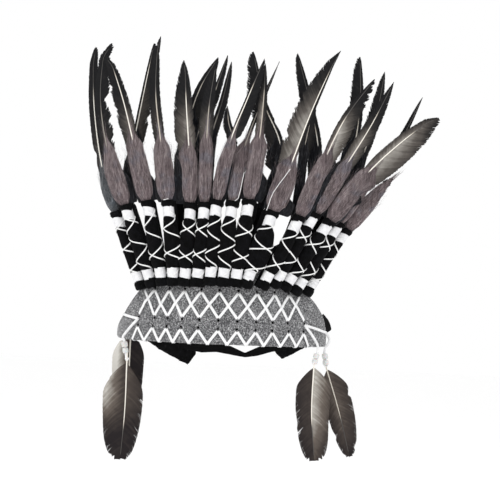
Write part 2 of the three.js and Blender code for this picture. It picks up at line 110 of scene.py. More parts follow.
class Wire:
    # A node's socket. Sums and products of wires make the nodes for them.
    def __init__(self, graph, socket):
        self.graph, self.socket, self.isArrow = graph, socket, socket.type == "VECTOR"

    def __add__(self, other):
        return self.graph.math("ADD", self, other)

    def __sub__(self, other):
        return self.graph.math("SUBTRACT", self, other)

    def __rsub__(self, other):
        return self.graph.math("SUBTRACT", other, self)

    def __mul__(self, other):
        return self.graph.math("SCALE" if self.isArrow else "MULTIPLY", self, other)

    def __truediv__(self, other):
        return self.graph.math("DIVIDE", self, other)

    __radd__, __rmul__ = __add__, __mul__


class Graph:
    def __init__(self, tree):
        self.tree = tree

    def feed(self, socket, value):
        if isinstance(value, Wire):
            self.tree.links.new(value.socket, socket)
        elif value is not None:
            socket.default_value = value

    # Makes a node, sets it up, feeds its inputs in order or by name, and returns its outputs.
    def node(self, kind, *values, named=None, **settings):
        made = self.tree.nodes.new(kind)
        for name, value in settings.items():
            setattr(made, name, value)
        for socket, value in zip([s for s in made.inputs if s.enabled], values):
            self.feed(socket, value)
        for name, value in (named or {}).items():
            self.feed(next(s for s in made.inputs if s.enabled and s.name == name), value)
        return [Wire(self, s) for s in made.outputs if s.enabled]

    def take(self, kind, *values, out=0, **settings):
        return self.node(kind, *values, **settings)[out]

    def math(self, operation, *values):
        isArrow = any(getattr(value, "isArrow", False) for value in values)
        kind = "ShaderNodeVectorMath" if isArrow else "ShaderNodeMath"
        return self.take(kind, *values, operation=operation)

    def remap(self, value, low, high, toLow=0.0, toHigh=1.0, **settings):
        return self.take("ShaderNodeMapRange", value, low, high, toLow, toHigh, **settings)

    def split(self, arrow):
        return self.node("ShaderNodeSeparateXYZ", arrow)

    # A number stored on the geometry, and a direction or place stored on it.
    def __getitem__(self, name):
        return self.take("GeometryNodeInputNamedAttribute", name, data_type="FLOAT")

    def arrow(self, name):
        return self.take("GeometryNodeInputNamedAttribute", name, data_type="FLOAT_VECTOR")

    def store(self, geometry, **values):
        for name, value in values.items():
            geometry = self.take("GeometryNodeStoreNamedAttribute", geometry, None, name, value,
                                 data_type="FLOAT_VECTOR" if value.isArrow else "FLOAT")
        return geometry

    # What a value is at a share of a line. Outputs 1 and 2 are the place there and the tangent.
    def sample(self, line, value, share, out=0):
        kind = "FLOAT_VECTOR" if getattr(value, "isArrow", False) else "FLOAT"
        return self.take("GeometryNodeSampleCurve", line, value, share, out=out, data_type=kind,
                         mode="FACTOR", use_all_curves=False)

    def random(self, low, high, seed, kind="FLOAT"):
        index = self.take("GeometryNodeInputIndex")
        return self.take("FunctionNodeRandomValue", low, high, index, seed, data_type=kind)

    def ripple(self, place, detail):
        return self.take("ShaderNodeTexNoise", place, 1.0, detail, noise_dimensions="1D", normalize=True)


socketKinds = {float: "Float", int: "Int", str: "String", type(None): "Material"}


# A geometry tree with a geometry input and output and named inputs. Returns its graph and its inputs.
def newTree(name, **sizes):
    tree = bpy.data.node_groups.new(name, "GeometryNodeTree")
    tree.interface.new_socket("geometry", in_out="INPUT", socket_type="NodeSocketGeometry")
    for label, value in sizes.items():
        kind = "NodeSocket" + socketKinds[type(value)]
        socket = tree.interface.new_socket(label, in_out="INPUT", socket_type=kind)
        if value is not None:
            socket.default_value = value
    tree.interface.new_socket("geometry", in_out="OUTPUT", socket_type="NodeSocketGeometry")
    graph = Graph(tree)
    start = tree.nodes.new("NodeGroupInput")
    return graph, SimpleNamespace(**{s.name: Wire(graph, s) for s in start.outputs if s.name})


# Every tree ends in real geometry with its material on it.
def closeTree(graph, geometry, material=None):
    geometry = graph.take("GeometryNodeRealizeInstances", geometry)
    if material:
        geometry = graph.take("GeometryNodeSetMaterial", geometry, None, material)
    graph.feed(graph.tree.nodes.new("NodeGroupOutput").inputs[0], geometry)
    return graph.tree


# A closed three-sided sliver on each point. Returns the slivers and, for every place on them, how far up it
# is, from 0 to 1, how far across, from -1 to 1, and how far from the root to the tip, from 0 to 1.
def sliversOn(graph, points, segments):
    rod = graph.take("GeometryNodeMeshCylinder", 3, segments, 1, 1.0, 1.0, fill_type="NGON")
    x, y, z = graph.split(graph.take("GeometryNodeInputPosition"))
    place = graph.take("ShaderNodeCombineXYZ", graph.remap(x, -0.5, 1.0),
                       graph.remap(y, -0.866, 0.866, -1.0, 1.0, clamp=False), z + 0.5)
    rods = graph.take("GeometryNodeInstanceOnPoints", points, None, graph.store(rod, sliverPlace=place))
    return graph.take("GeometryNodeRealizeInstances", rods), *graph.split(graph.arrow("sliverPlace"))


vaneSizes = dict(barbs=120, start=0.1, sweep=1.0, curl=0.5, ragged=0.05, clump=0.2, cup=0.1,
                 barbThickness=0.25)


# One side of a vane. Barbs leave the quill at a slant and end on the vane's edge, like overlapping slats.
def vaneSideTree():
    graph, size = newTree("vaneSide", **vaneSizes, side=1.0, reachName="", paleName="", shiftName="",
                          overlap=1.25, seed=1, material=None)
    line = graph.take("GeometryNodeMeshToCurve", size.geometry)
    length = graph.take("GeometryNodeCurveLength", line)
    spacing = (1.0 - size.start) / size.barbs
    jitter = graph.random(-0.35, 0.35, size.seed) * spacing
    edge = size.start + (graph.take("GeometryNodeInputIndex") + 1.0) * spacing + jitter
    wave = edge * 9.0 + size.seed * 3.7
    slow, fast = graph.ripple(wave, 2.0) - 0.5, graph.ripple(wave * 5.0, 2.0) - 0.5
    smooth, ahead = (graph.sample(line, graph[size.reachName], share) for share in (edge, edge + spacing))
    torn = 1.0 + fast * size.ragged * 3.0 + graph.random(-1.0, 0.0, size.seed + 5) * size.ragged
    sweep = size.sweep + slow * size.clump * 2.0 + fast * size.clump
    rootAt = graph.math("MAXIMUM", edge - smooth * sweep / length, size.start - 0.02)
    narrowing = graph.math("MAXIMUM", (smooth - ahead) * sweep / length, 0.0)
    points = graph.store(
        graph.take("GeometryNodePoints", size.barbs),
        rootPlace=graph.sample(line, 0.0, rootAt, 1),
        rootTangent=graph.sample(line, 0.0, rootAt, 2),
        rootSideways=graph.sample(line, graph.arrow("sideways"), rootAt),
        rootOutward=graph.sample(line, graph.arrow("outward"), rootAt),
        reach=smooth * torn,
        advance=(edge - rootAt) * length * torn + graph.sample(line, graph[size.shiftName], edge),
        rootSpread=graph.math("MINIMUM", 1.0 + narrowing / spacing, 14.0),
        rootAt=rootAt, edgeAt=edge,
        streak=0.5 + fast * 1.2 + graph.random(-0.5, 0.5, size.seed) * 0.5,
    )
    barbs, up, across, along = sliversOn(graph, points, 5)
    squared = along * along
    bow = along * (1.0 - size.curl) + squared * size.curl
    taper = 1.0 - squared * 0.5
    loosening = along * 0.45
    widening = loosening + graph["rootSpread"] * (1.0 - loosening)
    halfWidth = spacing * length * size.overlap * taper * widening
    lift = up * size.barbThickness * taper - squared * graph["reach"] * size.cup
    barbs = graph.take("GeometryNodeSetPosition", barbs, None, (
        graph.arrow("rootPlace")
        + graph.arrow("rootSideways") * (graph["reach"] * along * size.side)
        + graph.arrow("rootTangent") * (graph["advance"] * bow + across * halfWidth)
        + graph.arrow("rootOutward") * (lift + across * size.barbThickness * -0.5)))
    vaneAt = graph["rootAt"] + bow * (graph["edgeAt"] - graph["rootAt"])
    pale = graph.sample(line, graph[size.paleName], vaneAt)
    barbs = graph.store(barbs, along=vaneAt, across=along, pale=pale)
    return closeTree(graph, barbs, size.material)


# A whole feather on its quill's line: both sides of the vane, and the quill itself.
def featherTree(sideTree):
    graph, size = newTree("feather", **vaneSizes, seed=1, vaneMaterial=None, quillMaterial=None)
    parts = []
    for label, side in (("left", -1.0), ("right", 1.0)):
        group = graph.tree.nodes.new("GeometryNodeGroup")
        group.node_tree = sideTree
        given = {name: getattr(size, name) for name in ("geometry", *vaneSizes)}
        given.update(side=side, reachName=label + "Reach", paleName=label + "Pale", shiftName=label + "Shift",
                     material=size.vaneMaterial, seed=size.seed + 10.0 * side)
        for name, value in given.items():
            graph.feed(group.inputs[name], value)
        parts.append(Wire(graph, group.outputs[0]))
    line = graph.take("GeometryNodeMeshToCurve", size.geometry)
    line = graph.store(line, along=graph.take("GeometryNodeSplineParameter"), pale=graph["quillPale"])
    line = graph.take("GeometryNodeSetPosition", line, None, None,
                      graph.arrow("outward") * (graph["quillRadius"] * 0.35))
    ring = graph.take("GeometryNodeCurvePrimitiveCircle", 7, 1.0)
    quill = graph.take("GeometryNodeCurveToMesh", line, ring, graph["quillRadius"], True)
    parts.append(graph.take("GeometryNodeSetMaterial", quill, None, size.quillMaterial))
    both = graph.tree.nodes.new("GeometryNodeJoinGeometry")
    for part in parts:
        graph.feed(both.inputs[0], part)
    return closeTree(graph, Wire(graph, both.outputs[0]))


# Fine hairs that lie along a soft body and lift off it towards their tips.
def hairTree():
    graph, size = newTree("hairs", hairs=200, shortest=0.2, longest=0.6, first=0.0, last=0.8, hairRadius=0.2,
                          wave=0.15, lift=0.2, inset=0.97, seed=1, material=None)
    line = graph.take("GeometryNodeMeshToCurve", size.geometry)
    points = graph.store(
        graph.take("GeometryNodePoints", size.hairs),
        hairStart=graph.random(size.first, size.last, size.seed),
        hairTurn=graph.random(0.0, 2 * math.pi, size.seed + 1),
        hairLength=graph.random(size.shortest, size.longest, size.seed + 2),
        hairDrift=graph.random(-1.0, 1.0, size.seed + 3),
        hairLift=graph.random(0.0, 1.0, size.seed + 4),
        streak=graph.random(0.0, 1.0, size.seed + 6),
    )
    hairs, up, across, along = sliversOn(graph, points, 5)
    squared = along * along
    height = graph["hairStart"] + graph["hairLength"] * along
    beyond = graph.math("MAXIMUM", height - 1.0, 0.0) * graph.take("GeometryNodeCurveLength", line)
    sway = graph.ripple(graph["hairTurn"] * 7.0 + along * 1.6, 1.0) - 0.5
    turn = graph["hairTurn"] + graph["hairDrift"] * size.wave * along + sway * size.wave * 2.0
    cosine, sine = graph.math("COSINE", turn), graph.math("SINE", turn)
    sideways, outward = (graph.sample(line, graph.arrow(name), height) for name in ("sideways", "outward"))
    left, right, depth = (
        graph.sample(line, graph[name], height) for name in ("leftRadius", "rightRadius", "depthRadius"))
    tangent = graph.sample(line, 0.0, height, 2)
    isRight = graph.math("GREATER_THAN", cosine, 0.0)
    width = graph.take("ShaderNodeMix", isRight, left, right, data_type="FLOAT")
    spoke = sideways * (cosine * width) + outward * (sine * depth)
    radial = graph.math("NORMALIZE", spoke)
    thick = size.hairRadius * (1.0 - squared * 0.8)
    hairs = graph.take("GeometryNodeSetPosition", hairs, None, (
        graph.sample(line, 0.0, height, 1)
        + tangent * beyond
        + spoke * (size.inset + graph["hairLift"] * size.lift * squared)
        + radial * (up * thick)
        + graph.math("CROSS_PRODUCT", tangent, radial) * (across * thick)))
    return closeTree(graph, graph.store(hairs, along=height, across=along), size.material)


# A round or flattened thread along every line of the base, turned to its outward attribute.
def threadTree():
    graph, size = newTree("thread", step=1.0, halfWidth=0.6, halfThickness=0.6, corners=8, material=None)
    line = graph.take("GeometryNodeMeshToCurve", size.geometry)
    line = graph.take("GeometryNodeResampleCurve", line, mode="LENGTH", named={"Length": size.step})
    line = graph.store(line, along=graph.take("GeometryNodeSplineParameter", out=1))
    line = graph.take("GeometryNodeSetCurveNormal", line, mode="FREE",
                      named={"Normal": graph.arrow("outward")})
    ring = graph.take("GeometryNodeCurvePrimitiveCircle", size.corners, 1.0)
    x, y, _ = graph.split(graph.take("GeometryNodeInputPosition"))
    flat = graph.take("ShaderNodeCombineXYZ", x * size.halfThickness, y * size.halfWidth, 0.0)
    ring = graph.take("GeometryNodeSetPosition", graph.store(ring, across=y), None, flat)
    return closeTree(graph, graph.take("GeometryNodeCurveToMesh", line, ring, 1.0, True), size.material)


# Short loose fibres all over a cloth surface.
def fuzzTree():
    graph, size = newTree("fuzz", density=0.4, fibreLength=1.6, fibreRadius=0.06, stand=0.35, seed=1,
                          material=None)
    spread = graph.node("GeometryNodeDistributePointsOnFaces", size.geometry, None, size.density, size.seed)
    points, normal = spread[:2]
    chance = graph.random((-1.0, -1.0, -1.0), (1.0, 1.0, 1.0), size.seed, "FLOAT_VECTOR")
    points = graph.store(
        points,
        rootPlace=graph.take("GeometryNodeInputPosition"),
        rootTangent=graph.math("NORMALIZE", graph.math("CROSS_PRODUCT", normal, chance)),
        rootOutward=normal,
        hairLength=graph.random(0.5, 1.3, size.seed + 2),
        hairDrift=graph.random(-1.0, 1.0, size.seed + 3),
        hairLift=graph.random(0.0, 1.0, size.seed + 4),
        streak=graph.random(0.0, 1.0, size.seed + 6),
    )
    fibres, up, across, along = sliversOn(graph, points, 3)
    squared = along * along
    tangent, outward = graph.arrow("rootTangent"), graph.arrow("rootOutward")
    reach = graph["hairLength"] * size.fibreLength
    thick = size.fibreRadius * (1.0 - squared * 0.6)
    drift = graph["hairDrift"] * squared * reach * 0.5
    fibres = graph.take("GeometryNodeSetPosition", fibres, None, (
        graph.arrow("rootPlace")
        + tangent * (reach * along)
        + graph.math("CROSS_PRODUCT", tangent, outward) * (across * thick + drift)
        + outward * (up * thick + graph["hairLift"] * size.stand * reach * along)))
    return closeTree(graph, graph.store(fibres, across=along), size.material)


trees = dict(feather=featherTree(vaneSideTree()), hairs=hairTree(), thread=threadTree(), fuzz=fuzzTree())
print("geometry trees are ready")


# Materials, all from noise on the object's own coordinates and from attributes that the trees leave.
class Paint(Graph):
    def __init__(self, name):
        self.material = bpy.data.materials.new(name)
        self.material.use_nodes = True
        super().__init__(self.material.node_tree)
        self.surface = self.tree.nodes["Principled BSDF"]
        self.place = Wire(self, self.tree.nodes.new("ShaderNodeTexCoord").outputs["Object"])

    def __getitem__(self, name):
        made = self.tree.nodes.new("ShaderNodeAttribute")
        made.attribute_name = name
        return Wire(self, made.outputs["Fac"])

    # Joins the colour, the bumps and the surface's other values to the shader.
    def finish(self, colour, roughness, specular, sheen=0.0, bump=None, strength=0.3, distance=0.0003,
               **looks):
        self.feed(self.surface.inputs["Base Color"], colour)
        looks.update(Roughness=roughness, Specular_IOR_Level=specular, Sheen_Weight=sheen)
        for name, value in looks.items():
            self.surface.inputs[name.replace("_", " ")].default_value = value
        if bump is not None:
            bumps = self.take("ShaderNodeBump", named={
                "Strength": strength, "Distance": distance, "Height": bump})
            self.feed(self.surface.inputs["Normal"], bumps)
        return self.material

    def noise(self, scale, detail=3.0, roughness=0.55, stretch=None):
        place = self.take("ShaderNodeMapping", self.place, None, None, stretch) if stretch else self.place
        return self.take("ShaderNodeTexNoise", place, scale, detail, roughness)

    # Greys are given as one number.
    def ramp(self, value, *stops):
        made = self.tree.nodes.new("ShaderNodeValToRGB")
        self.feed(made.inputs[0], value)
        band = made.color_ramp.elements
        while len(band) < len(stops):
            band.new(0.5)
        for element, (place, *colour) in zip(band, stops):
            element.position = place
            element.color = (*(colour if len(colour) == 3 else colour * 3), 1)
        return Wire(self, made.outputs[0])

    def blend(self, share, first, second, way="MIX"):
        return self.take("ShaderNodeMix", share, first, second, data_type="RGBA", blend_type=way)


# Vanes go from black through dark brown to pale grey, by how pale the feather is there and by each barb's
# own streak.
def vaneMaterial(name, roughness, *stops):
    paint = Paint(name)
    pale, across = paint["pale"], paint["across"]
    byQuill = paint.math("MAXIMUM", pale, 0.0) * paint.remap(across, 0.15, 1.0, 1.0, 0.42)
    byEdge = paint.math("MINIMUM", pale, 0.0) * paint.remap(across, 0.1, 0.85, -0.3, -1.0)
    cloud = paint.noise(160.0, 2.0) - 0.5
    shade = byQuill + byEdge + (paint["streak"] - 0.5) * 0.16 + cloud * 0.22
    return paint.finish(paint.ramp(shade, *stops), roughness, 0.1)


def quillMaterial():
    paint = Paint("quill")
    shade = paint["pale"] + (paint.noise(900.0, 2.0) - 0.5) * 0.15
    colour = paint.ramp(shade, (0.0, 0.02, 0.018, 0.017), (0.35, 0.13, 0.12, 0.11), (0.7, 0.52, 0.47, 0.4),
                        (1.0, 0.86, 0.82, 0.74))
    return paint.finish(colour, 0.38, 0.45, Coat_Weight=0.1)


def downMaterial(name, dark, middle, light):
    paint = Paint(name)
    fine = paint.noise(1.0, 4.0, 0.6, (1400, 1400, 90))
    clump = paint.noise(1.0, 3.0, 0.6, (420, 420, 45))
    shade = fine * 0.5 + paint.noise(110.0, 2.0) * 0.15 + clump * 0.35 + paint["streak"] * 0.2 + -0.07
    colour = paint.ramp(shade, (0.28, *dark), (0.48, *middle), (0.72, *light))
    cool = paint.remap(paint.noise(75.0, 2.0), 0.54, 0.68, 0.0, 0.6)
    colour = paint.blend(cool, colour, paint.blend(1.0, colour, (0.82, 0.98, 1.12, 1), "MULTIPLY"))
    return paint.finish(colour, 0.9, 0.08, 0.05, fine, 0.6, 0.0005)


# Black cloth with specks of lint. nap, lint and cloud are how fine its fibres, its specks and its cloudy wear
# are, and greys are its darkest and lightest.
def blackCloth(name, napRoughness, nap, lint, cloud, greys, lintStart, lintShare, lintColour):
    paint = Paint(name)
    weave = paint.noise(nap, 4.0, napRoughness)
    specks = paint.remap(paint.noise(lint, 3.0), lintStart, 0.72)
    base = paint.ramp(paint.noise(cloud, 3.0), *greys)
    colour = paint.blend(specks * lintShare, base, (*lintColour, 1))
    return paint.finish(colour, 0.95, 0.05, 0.02, weave, 0.6, 0.0004)


def threadMaterial(name, colour, shadow, ribs):
    paint = Paint(name)
    twist = paint.math("SINE", paint["along"] * ribs + paint["across"] * 3.0)
    height = twist * 0.2 + paint.noise(2600.0, 3.0) * 0.6
    stain = paint.remap(paint.noise(300.0, 2.0), 0.3, 0.75)
    return paint.finish(paint.blend(stain, (*shadow, 1), (*colour, 1)), 0.8, 0.2, 0.2, height, 0.35, 0.00025)


def feltMaterial():
    paint = Paint("felt")
    flecks = paint.noise(1.0, 4.0, 0.65, (780, 260, 780))
    strands = paint.noise(1.0, 3.0, 0.6, (1200, 1200, 700))
    shade = flecks * 0.65 + strands * 0.3 + paint.noise(60.0, 2.0) * 0.1 + (paint["streak"] - 0.5) * 0.15
    colour = paint.ramp(shade, (0.4, 0.05, 0.05, 0.053), (0.47, 0.17, 0.17, 0.175), (0.54, 0.34, 0.34, 0.345),
                        (0.63, 0.72, 0.72, 0.73))
    return paint.finish(colour, 0.95, 0.12, 0.3, flecks, 0.7, 0.0005)


def elasticMaterial():
    paint = Paint("elastic")
    ribs = paint.math("SINE", paint.split(paint.place)[2] * (2 * math.pi / 0.0014))
    weave = paint.noise(1800.0, 3.0)
    colour = paint.ramp(ribs * 0.18 + weave, (0.3, 0.002), (0.8, 0.009, 0.009, 0.01))
    return paint.finish(colour, 0.9, 0.06, 0.02, ribs * 0.6 + weave, 0.6, 0.0004)


def beadMaterial():
    paint = Paint("bead")
    colour = paint.ramp(paint.noise(250.0, 2.0), (0.3, 0.56, 0.56, 0.55), (0.7, 0.66, 0.66, 0.65))
    return paint.finish(colour, 0.28, 0.5, 0.0, paint.noise(500.0), 0.05, 0.0002, Subsurface_Weight=0.2,
                        Subsurface_Scale=0.002, Coat_Weight=0.25, Coat_Roughness=0.15)


materials = dict(
    vane=vaneMaterial("featherVane", 0.5, (0.0, 0.007, 0.007, 0.008), (0.22, 0.022, 0.02, 0.019),
                      (0.5, 0.085, 0.075, 0.067), (0.75, 0.24, 0.225, 0.205), (1.0, 0.46, 0.44, 0.41)),
    dropVane=vaneMaterial("dropVane", 0.55, (0.0, 0.014, 0.011, 0.012), (0.3, 0.05, 0.04, 0.035),
                          (0.55, 0.12, 0.1, 0.085), (0.8, 0.33, 0.31, 0.28), (1.0, 0.6, 0.58, 0.54)),
    quill=quillMaterial(),
    down=downMaterial("greyDown", (0.04, 0.032, 0.034), (0.14, 0.11, 0.114), (0.36, 0.31, 0.31)),
    # Slate-blue down: its own cool tint, made darker than the grey down as painted shade.
    coolDown=downMaterial("coolDown", (0.025, 0.027, 0.03), (0.09, 0.095, 0.102), (0.26, 0.27, 0.285)),
    # Near-black down: painted shade behind the front fluffs, and the down of the back feathers.
    darkDown=downMaterial("darkDown", (0.003, 0.003, 0.004), (0.012, 0.012, 0.014), (0.085, 0.085, 0.095)),
    roll=blackCloth("rollCloth", 0.65, 1500.0, 700.0, 240.0, [(0.3, 0.0015), (0.75, 0.005, 0.005, 0.006)],
                    0.62, 0.15, (0.05, 0.05, 0.05)),
    winding=threadMaterial("windingThread", (0.8, 0.8, 0.8), (0.66, 0.66, 0.68), 5.0),
    string=threadMaterial("crossingString", (0.86, 0.86, 0.85), (0.74, 0.74, 0.74), 5.0),
    lace=threadMaterial("flatLace", (0.86, 0.86, 0.86), (0.72, 0.72, 0.73), 7.0),
    felt=feltMaterial(),
    tabCloth=blackCloth("tabCloth", 0.7, 1300.0, 520.0, 120.0, [(0.3, 0.003), (0.75, 0.009, 0.009, 0.01)],
                        0.6, 0.2, (0.06, 0.06, 0.065)),
    elastic=elasticMaterial(),
    bead=beadMaterial(),
)
print("materials are ready")

# The head ring. Places round it are degrees from the front, positive to the right.
ring = dict(halfWidth=98, frontDepth=84, backDepth=58)
felt = dict(thickness=3)
gap = 0.3


def ringPoint(at, offset, height):
    turn = math.radians(at)
    depth = ring["frontDepth"] if math.cos(turn) > 0 else ring["backDepth"]
    outward = Vector((depth * math.sin(turn), -ring["halfWidth"] * math.cos(turn), 0)).normalized()
    middle = Vector((ring["halfWidth"] * math.sin(turn), -depth * math.cos(turn), height))
    return middle + offset * outward


def ringOutward(at):
    return (ringPoint(at, 1, 0) - ringPoint(at, 0, 0)).normalized()


def table(names, rows):
    return [dict(zip(names.split(), row)) for row in rows]


def mix(first, second, share):
    return first + (second - first) * share


def smoothStep(value, low, high):
    share = min(max((value - low) / (high - low), 0), 1)
    return share * share * (3 - 2 * share)


def turnsRound(count):
    return [2 * math.pi * corner / count for corner in range(count)]


# A smooth line through knots, measured along its length.
class Line:
    def __init__(self, knots, steps=14):
        path = [2 * knots[0] - knots[1], *knots, 2 * knots[-1] - knots[-2]]
        self.points = []
        for a, b, c, d in zip(path, path[1:], path[2:], path[3:]):
            marks = [0]
            for first, second in ((a, b), (b, c), (c, d)):
                marks.append(marks[-1] + math.sqrt((second - first).length))
            for step in range(steps):
                self.points.append(self.between((a, b, c, d), marks, step / steps))
        self.points.append(knots[-1].copy())
        self.marks = [0]
        for first, second in zip(self.points, self.points[1:]):
            self.marks.append(self.marks[-1] + (second - first).length)
        self.length = self.marks[-1]

    @staticmethod
    def between(corners, marks, share):
        place = marks[1] + (marks[2] - marks[1]) * share

        def mixed(first, second, low, high):
            return first.lerp(second, (place - marks[low]) / (marks[high] - marks[low]))

        a, b, c = (mixed(corners[i], corners[i + 1], i, i + 1) for i in range(3))
        return mixed(mixed(a, b, 0, 2), mixed(b, c, 1, 3), 1, 2)

    def at(self, distance):
        if distance < 0:
            return self.points[0] + (self.points[0] - self.points[1]).normalized() * -distance
        distance = min(distance, self.length)
        last = len(self.marks) - 1
        step = next((i for i in range(1, last) if self.marks[i] >= distance), last)
        share = (distance - self.marks[step - 1]) / (self.marks[step] - self.marks[step - 1])
        return self.points[step - 1].lerp(self.points[step], share)

    def tangent(self, distance):
        reach = 0.5
        return (self.at(min(distance + reach, self.length)) - self.at(distance - reach)).normalized()

    # Place, tangent, sideways (to the right as seen from the front) and outward at a distance.
    def frame(self, distance, facing):
        tangent = self.tangent(distance)
        turn = math.radians(facing)
        front = Vector((math.sin(turn), -math.cos(turn), 0))
        sideways = tangent.cross(front).normalized()
        if tangent.z < 0:
            sideways.negate()
        outward = (front - front.dot(tangent) * tangent).normalized()
        return self.at(distance), tangent, sideways, outward


keptLayers = ("along", "across", "pale", "streak", "material_index", "sharp_face", "sharp_edge")


# Points joined along each path, with a dictionary of values for every point.
def pathMesh(paths, marks):
    mesh = bpy.data.meshes.new("paths")
    edges, start = [], 0
    for path in paths:
        edges += [(start + i, start + i + 1) for i in range(len(path) - 1)]
        start += len(path)
    mesh.from_pydata([point for path in paths for point in path], edges, [])
    for layer, first in marks[0].items():
        isArrow = isinstance(first, Vector)
        made = mesh.attributes.new(layer, "FLOAT_VECTOR" if isArrow else "FLOAT", "POINT")
        values = [mark[layer] for mark in marks]
        if isArrow:
            values = [part for arrow in values for part in arrow]
        made.data.foreach_set("vector" if isArrow else "value", values)
    return mesh


# Runs a tree on a base mesh and returns what it makes as a plain mesh.
def grow(treeName, base, **sizes):
    holder = bpy.data.objects.new("growing", base)
    bpy.context.scene.collection.objects.link(holder)
    modifier = holder.modifiers.new("growing", "NODES")
    modifier.node_group = trees[treeName]
    for item in trees[treeName].interface.items_tree:
        if item.in_out == "INPUT" and item.name in sizes:
            value = sizes[item.name]
            modifier[item.identifier] = materials[value] if isinstance(value, str) else value
    graph = bpy.context.evaluated_depsgraph_get()
    mesh = bpy.data.meshes.new_from_object(holder.evaluated_get(graph), depsgraph=graph)
    bpy.data.objects.remove(holder)
    return mesh


# Thread, string or lace through paths of points, each given with the direction that it faces.
def threadMesh(paths, **sizes):
    marks = [dict(outward=outward) for path in paths for _, outward in path]
    return grow("thread", pathMesh([[point for point, _ in path] for path in paths], marks), **sizes)


# A closed skin through rings of points. Its ends are filled, or joined to each other where it is hollow.
def skin(rings, material, hollow=False):
    count, total = len(rings[0]), len(rings)
    faces = [] if hollow else [tuple(reversed(range(count)))]
    for level in range(total if hollow else total - 1):
        low, high = level * count, (level + 1) % total * count
        for i in range(count):
            after = (i + 1) % count
            faces.append((low + i, low + after, high + after, high + i))
    if not hollow:
        faces.append(tuple(range((total - 1) * count, total * count)))
    mesh = bpy.data.meshes.new("skin")
    mesh.from_pydata([point for level in rings for point in level], [], faces)
    shape = bmesh.new()
    shape.from_mesh(mesh)
    bmesh.ops.recalc_face_normals(shape, faces=shape.faces)
    shape.to_mesh(mesh)
    shape.free()
    mesh.polygons.foreach_set("use_smooth", [True] * len(mesh.polygons))
    mesh.materials.append(materials[material])
    return mesh


# Joins meshes made in millimetres into one finished piece that stands for a solid of the frame.
def piece(name, meshes, slot, *nodes):
    made = [bpy.data.objects.new(name, mesh) for mesh in meshes]
    for part in made:
        bpy.context.scene.collection.objects.link(part)
    if len(made) > 1:
        with bpy.context.temp_override(active_object=made[0], selected_editable_objects=made):
            bpy.ops.object.join()
    whole = made[0]
    whole.name = whole.data.name = name
    for layer in list(whole.data.attributes):
        if not layer.is_internal and not layer.is_required and layer.name not in keptLayers:
            whole.data.attributes.remove(layer)
    whole.data.transform(Matrix.Scale(mm, 4))
    whole.data.update()
    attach(whole, "root")
    if nodes:
        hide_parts(*nodes)
    return whole


# Both rows of feathers, from left to right: places in degrees and millimetres, leans in degrees.
plumeColumns = ("at foot lean span body fluffLean fluffLength fluff vaneLean bend vaneLength left right "
                "widest roundness forward")
frontRow = table(plumeColumns, [
    (-47.2, 58.5, -21, 52, 5.5, -20, 48, 6, -7, 14, 114, 6, 6.5, 0.3, 0.35, -4),
    (-40.1, 61, -20.5, 56.5, 5.5, -20, 60, 8.2, -4, 25, 98, 6, 9.5, 0.3, 0.35, 2),
    (-32.9, 63, -12.5, 56, 5.5, -15, 62, 8.1, -18, -8, 83, 10.5, 5.5, 0.3, 0.5, 0),
    (-25.9, 63.5, -6, 55, 5.6, -8.5, 58, 8.2, -4, 17, 99, 7, 4.5, 0.2, 0.6, 0),
    (-19.2, 63.5, 2.5, 53, 5.5, -3, 55, 6.8, -5, 3, 82, 13, 6.5, 0.2, 0.7, 0),
    (-12.6, 63.5, 3.5, 54, 5, 0, 63, 5.8, 4.5, 11, 69, 8, 5.5, 0.2, 0.7, 0),
    (-6.1, 65.5, 2.5, 55, 5, 9.5, 60, 5.8, 20, 3, 81, 2, 8.5, 0.3, 0.6, 5),
    (0.4, 65, 4.5, 55, 5.7, 9, 54, 5.8, 19.5, 7, 87, 2, 2.2, 0.4, 1, -5),
    (6.9, 65, 7, 57.5, 5.6, 7.5, 59.5, 7, 2.5, -6, 71, 5, 4, 0.2, 0.7, 0),
    (13.2, 64, 18, 51.5, 5.6, 18.5, 51, 9.6, 20.5, 7, 113, 15, 3, 0.3, 0.8, 0),
    (22.4, 63, 26, 52, 5.7, 21.5, 65, 7, 29.5, 20, 84, 4, 12.5, 0.25, 0.6, 2),
    (29.1, 65, 27, 55, 5.4, 30, 58.5, 6.8, 27.5, -9, 87, 6.5, 8.5, 0.25, 0.8, 0),
    (35.1, 62, 31.5, 54, 5.3, 35, 60.5, 8.2, 47.5, 12, 84, 6.5, 19, 0.3, 0.5, 2),
    (41.7, 59, 30, 55, 5.3, 33, 55, 5, 30, -20, 91, 4, 3, 0.25, 0.65, -5),
    (49.6, 59, 29.5, 48.5, 5.5, 37, 58, 7, 45, 10, 14, 4, 4, 0.4, 0.8, 2),
])
backRow = table(plumeColumns.replace("body ", ""), [
    (-49, 61, -16.5, 65, 3.5, 59, 5, 9, 2, 91, 3, 10.5, 0.2, 0.35, 0),
    (-25.8, 63.5, -1.5, 61.5, 4.5, 76, 5.4, 22, 24, 63, 4.5, 10.5, 0.3, 0.6, 0),
    (-18.4, 63.5, -3, 61.5, 3.5, 58.5, 6.2, 18, -4, 81, 2.5, 6, 0.3, 0.6, 0),
    (-11.4, 64, 0, 61.5, 3, 62, 3.8, 12.5, -7, 68.5, 3, 5.5, 0.25, 0.6, 0),
    (1, 65, 4, 61.5, -2, 59, 3.8, -12, 20, 30, 6, 3, 0.3, 0.8, 0),
    (13.8, 63.5, 8, 59, 17, 57.5, 3, -18, 15, 92, 15.5, 3.5, 0.2, 0.45, 0),
    (24, 63, 24, 56.5, 6, 63, 3.2, 9, -1, 54, 4.5, 6, 0.3, 0.8, 5),
    (31.5, 63, 24, 57, 8, 62, 3.4, -14, -8, 92, 10.5, 4, 0.2, 0.5, 0),
    (40, 61, 24.5, 61, 22, 71, 5, 2, -17, 84, 11, 4, 0.25, 0.45, 0),
    (48, 59, 27.5, 61, 20, 68, 5, 12.5, -15, 80, 9, 6, 0.25, 0.7, -4),
])
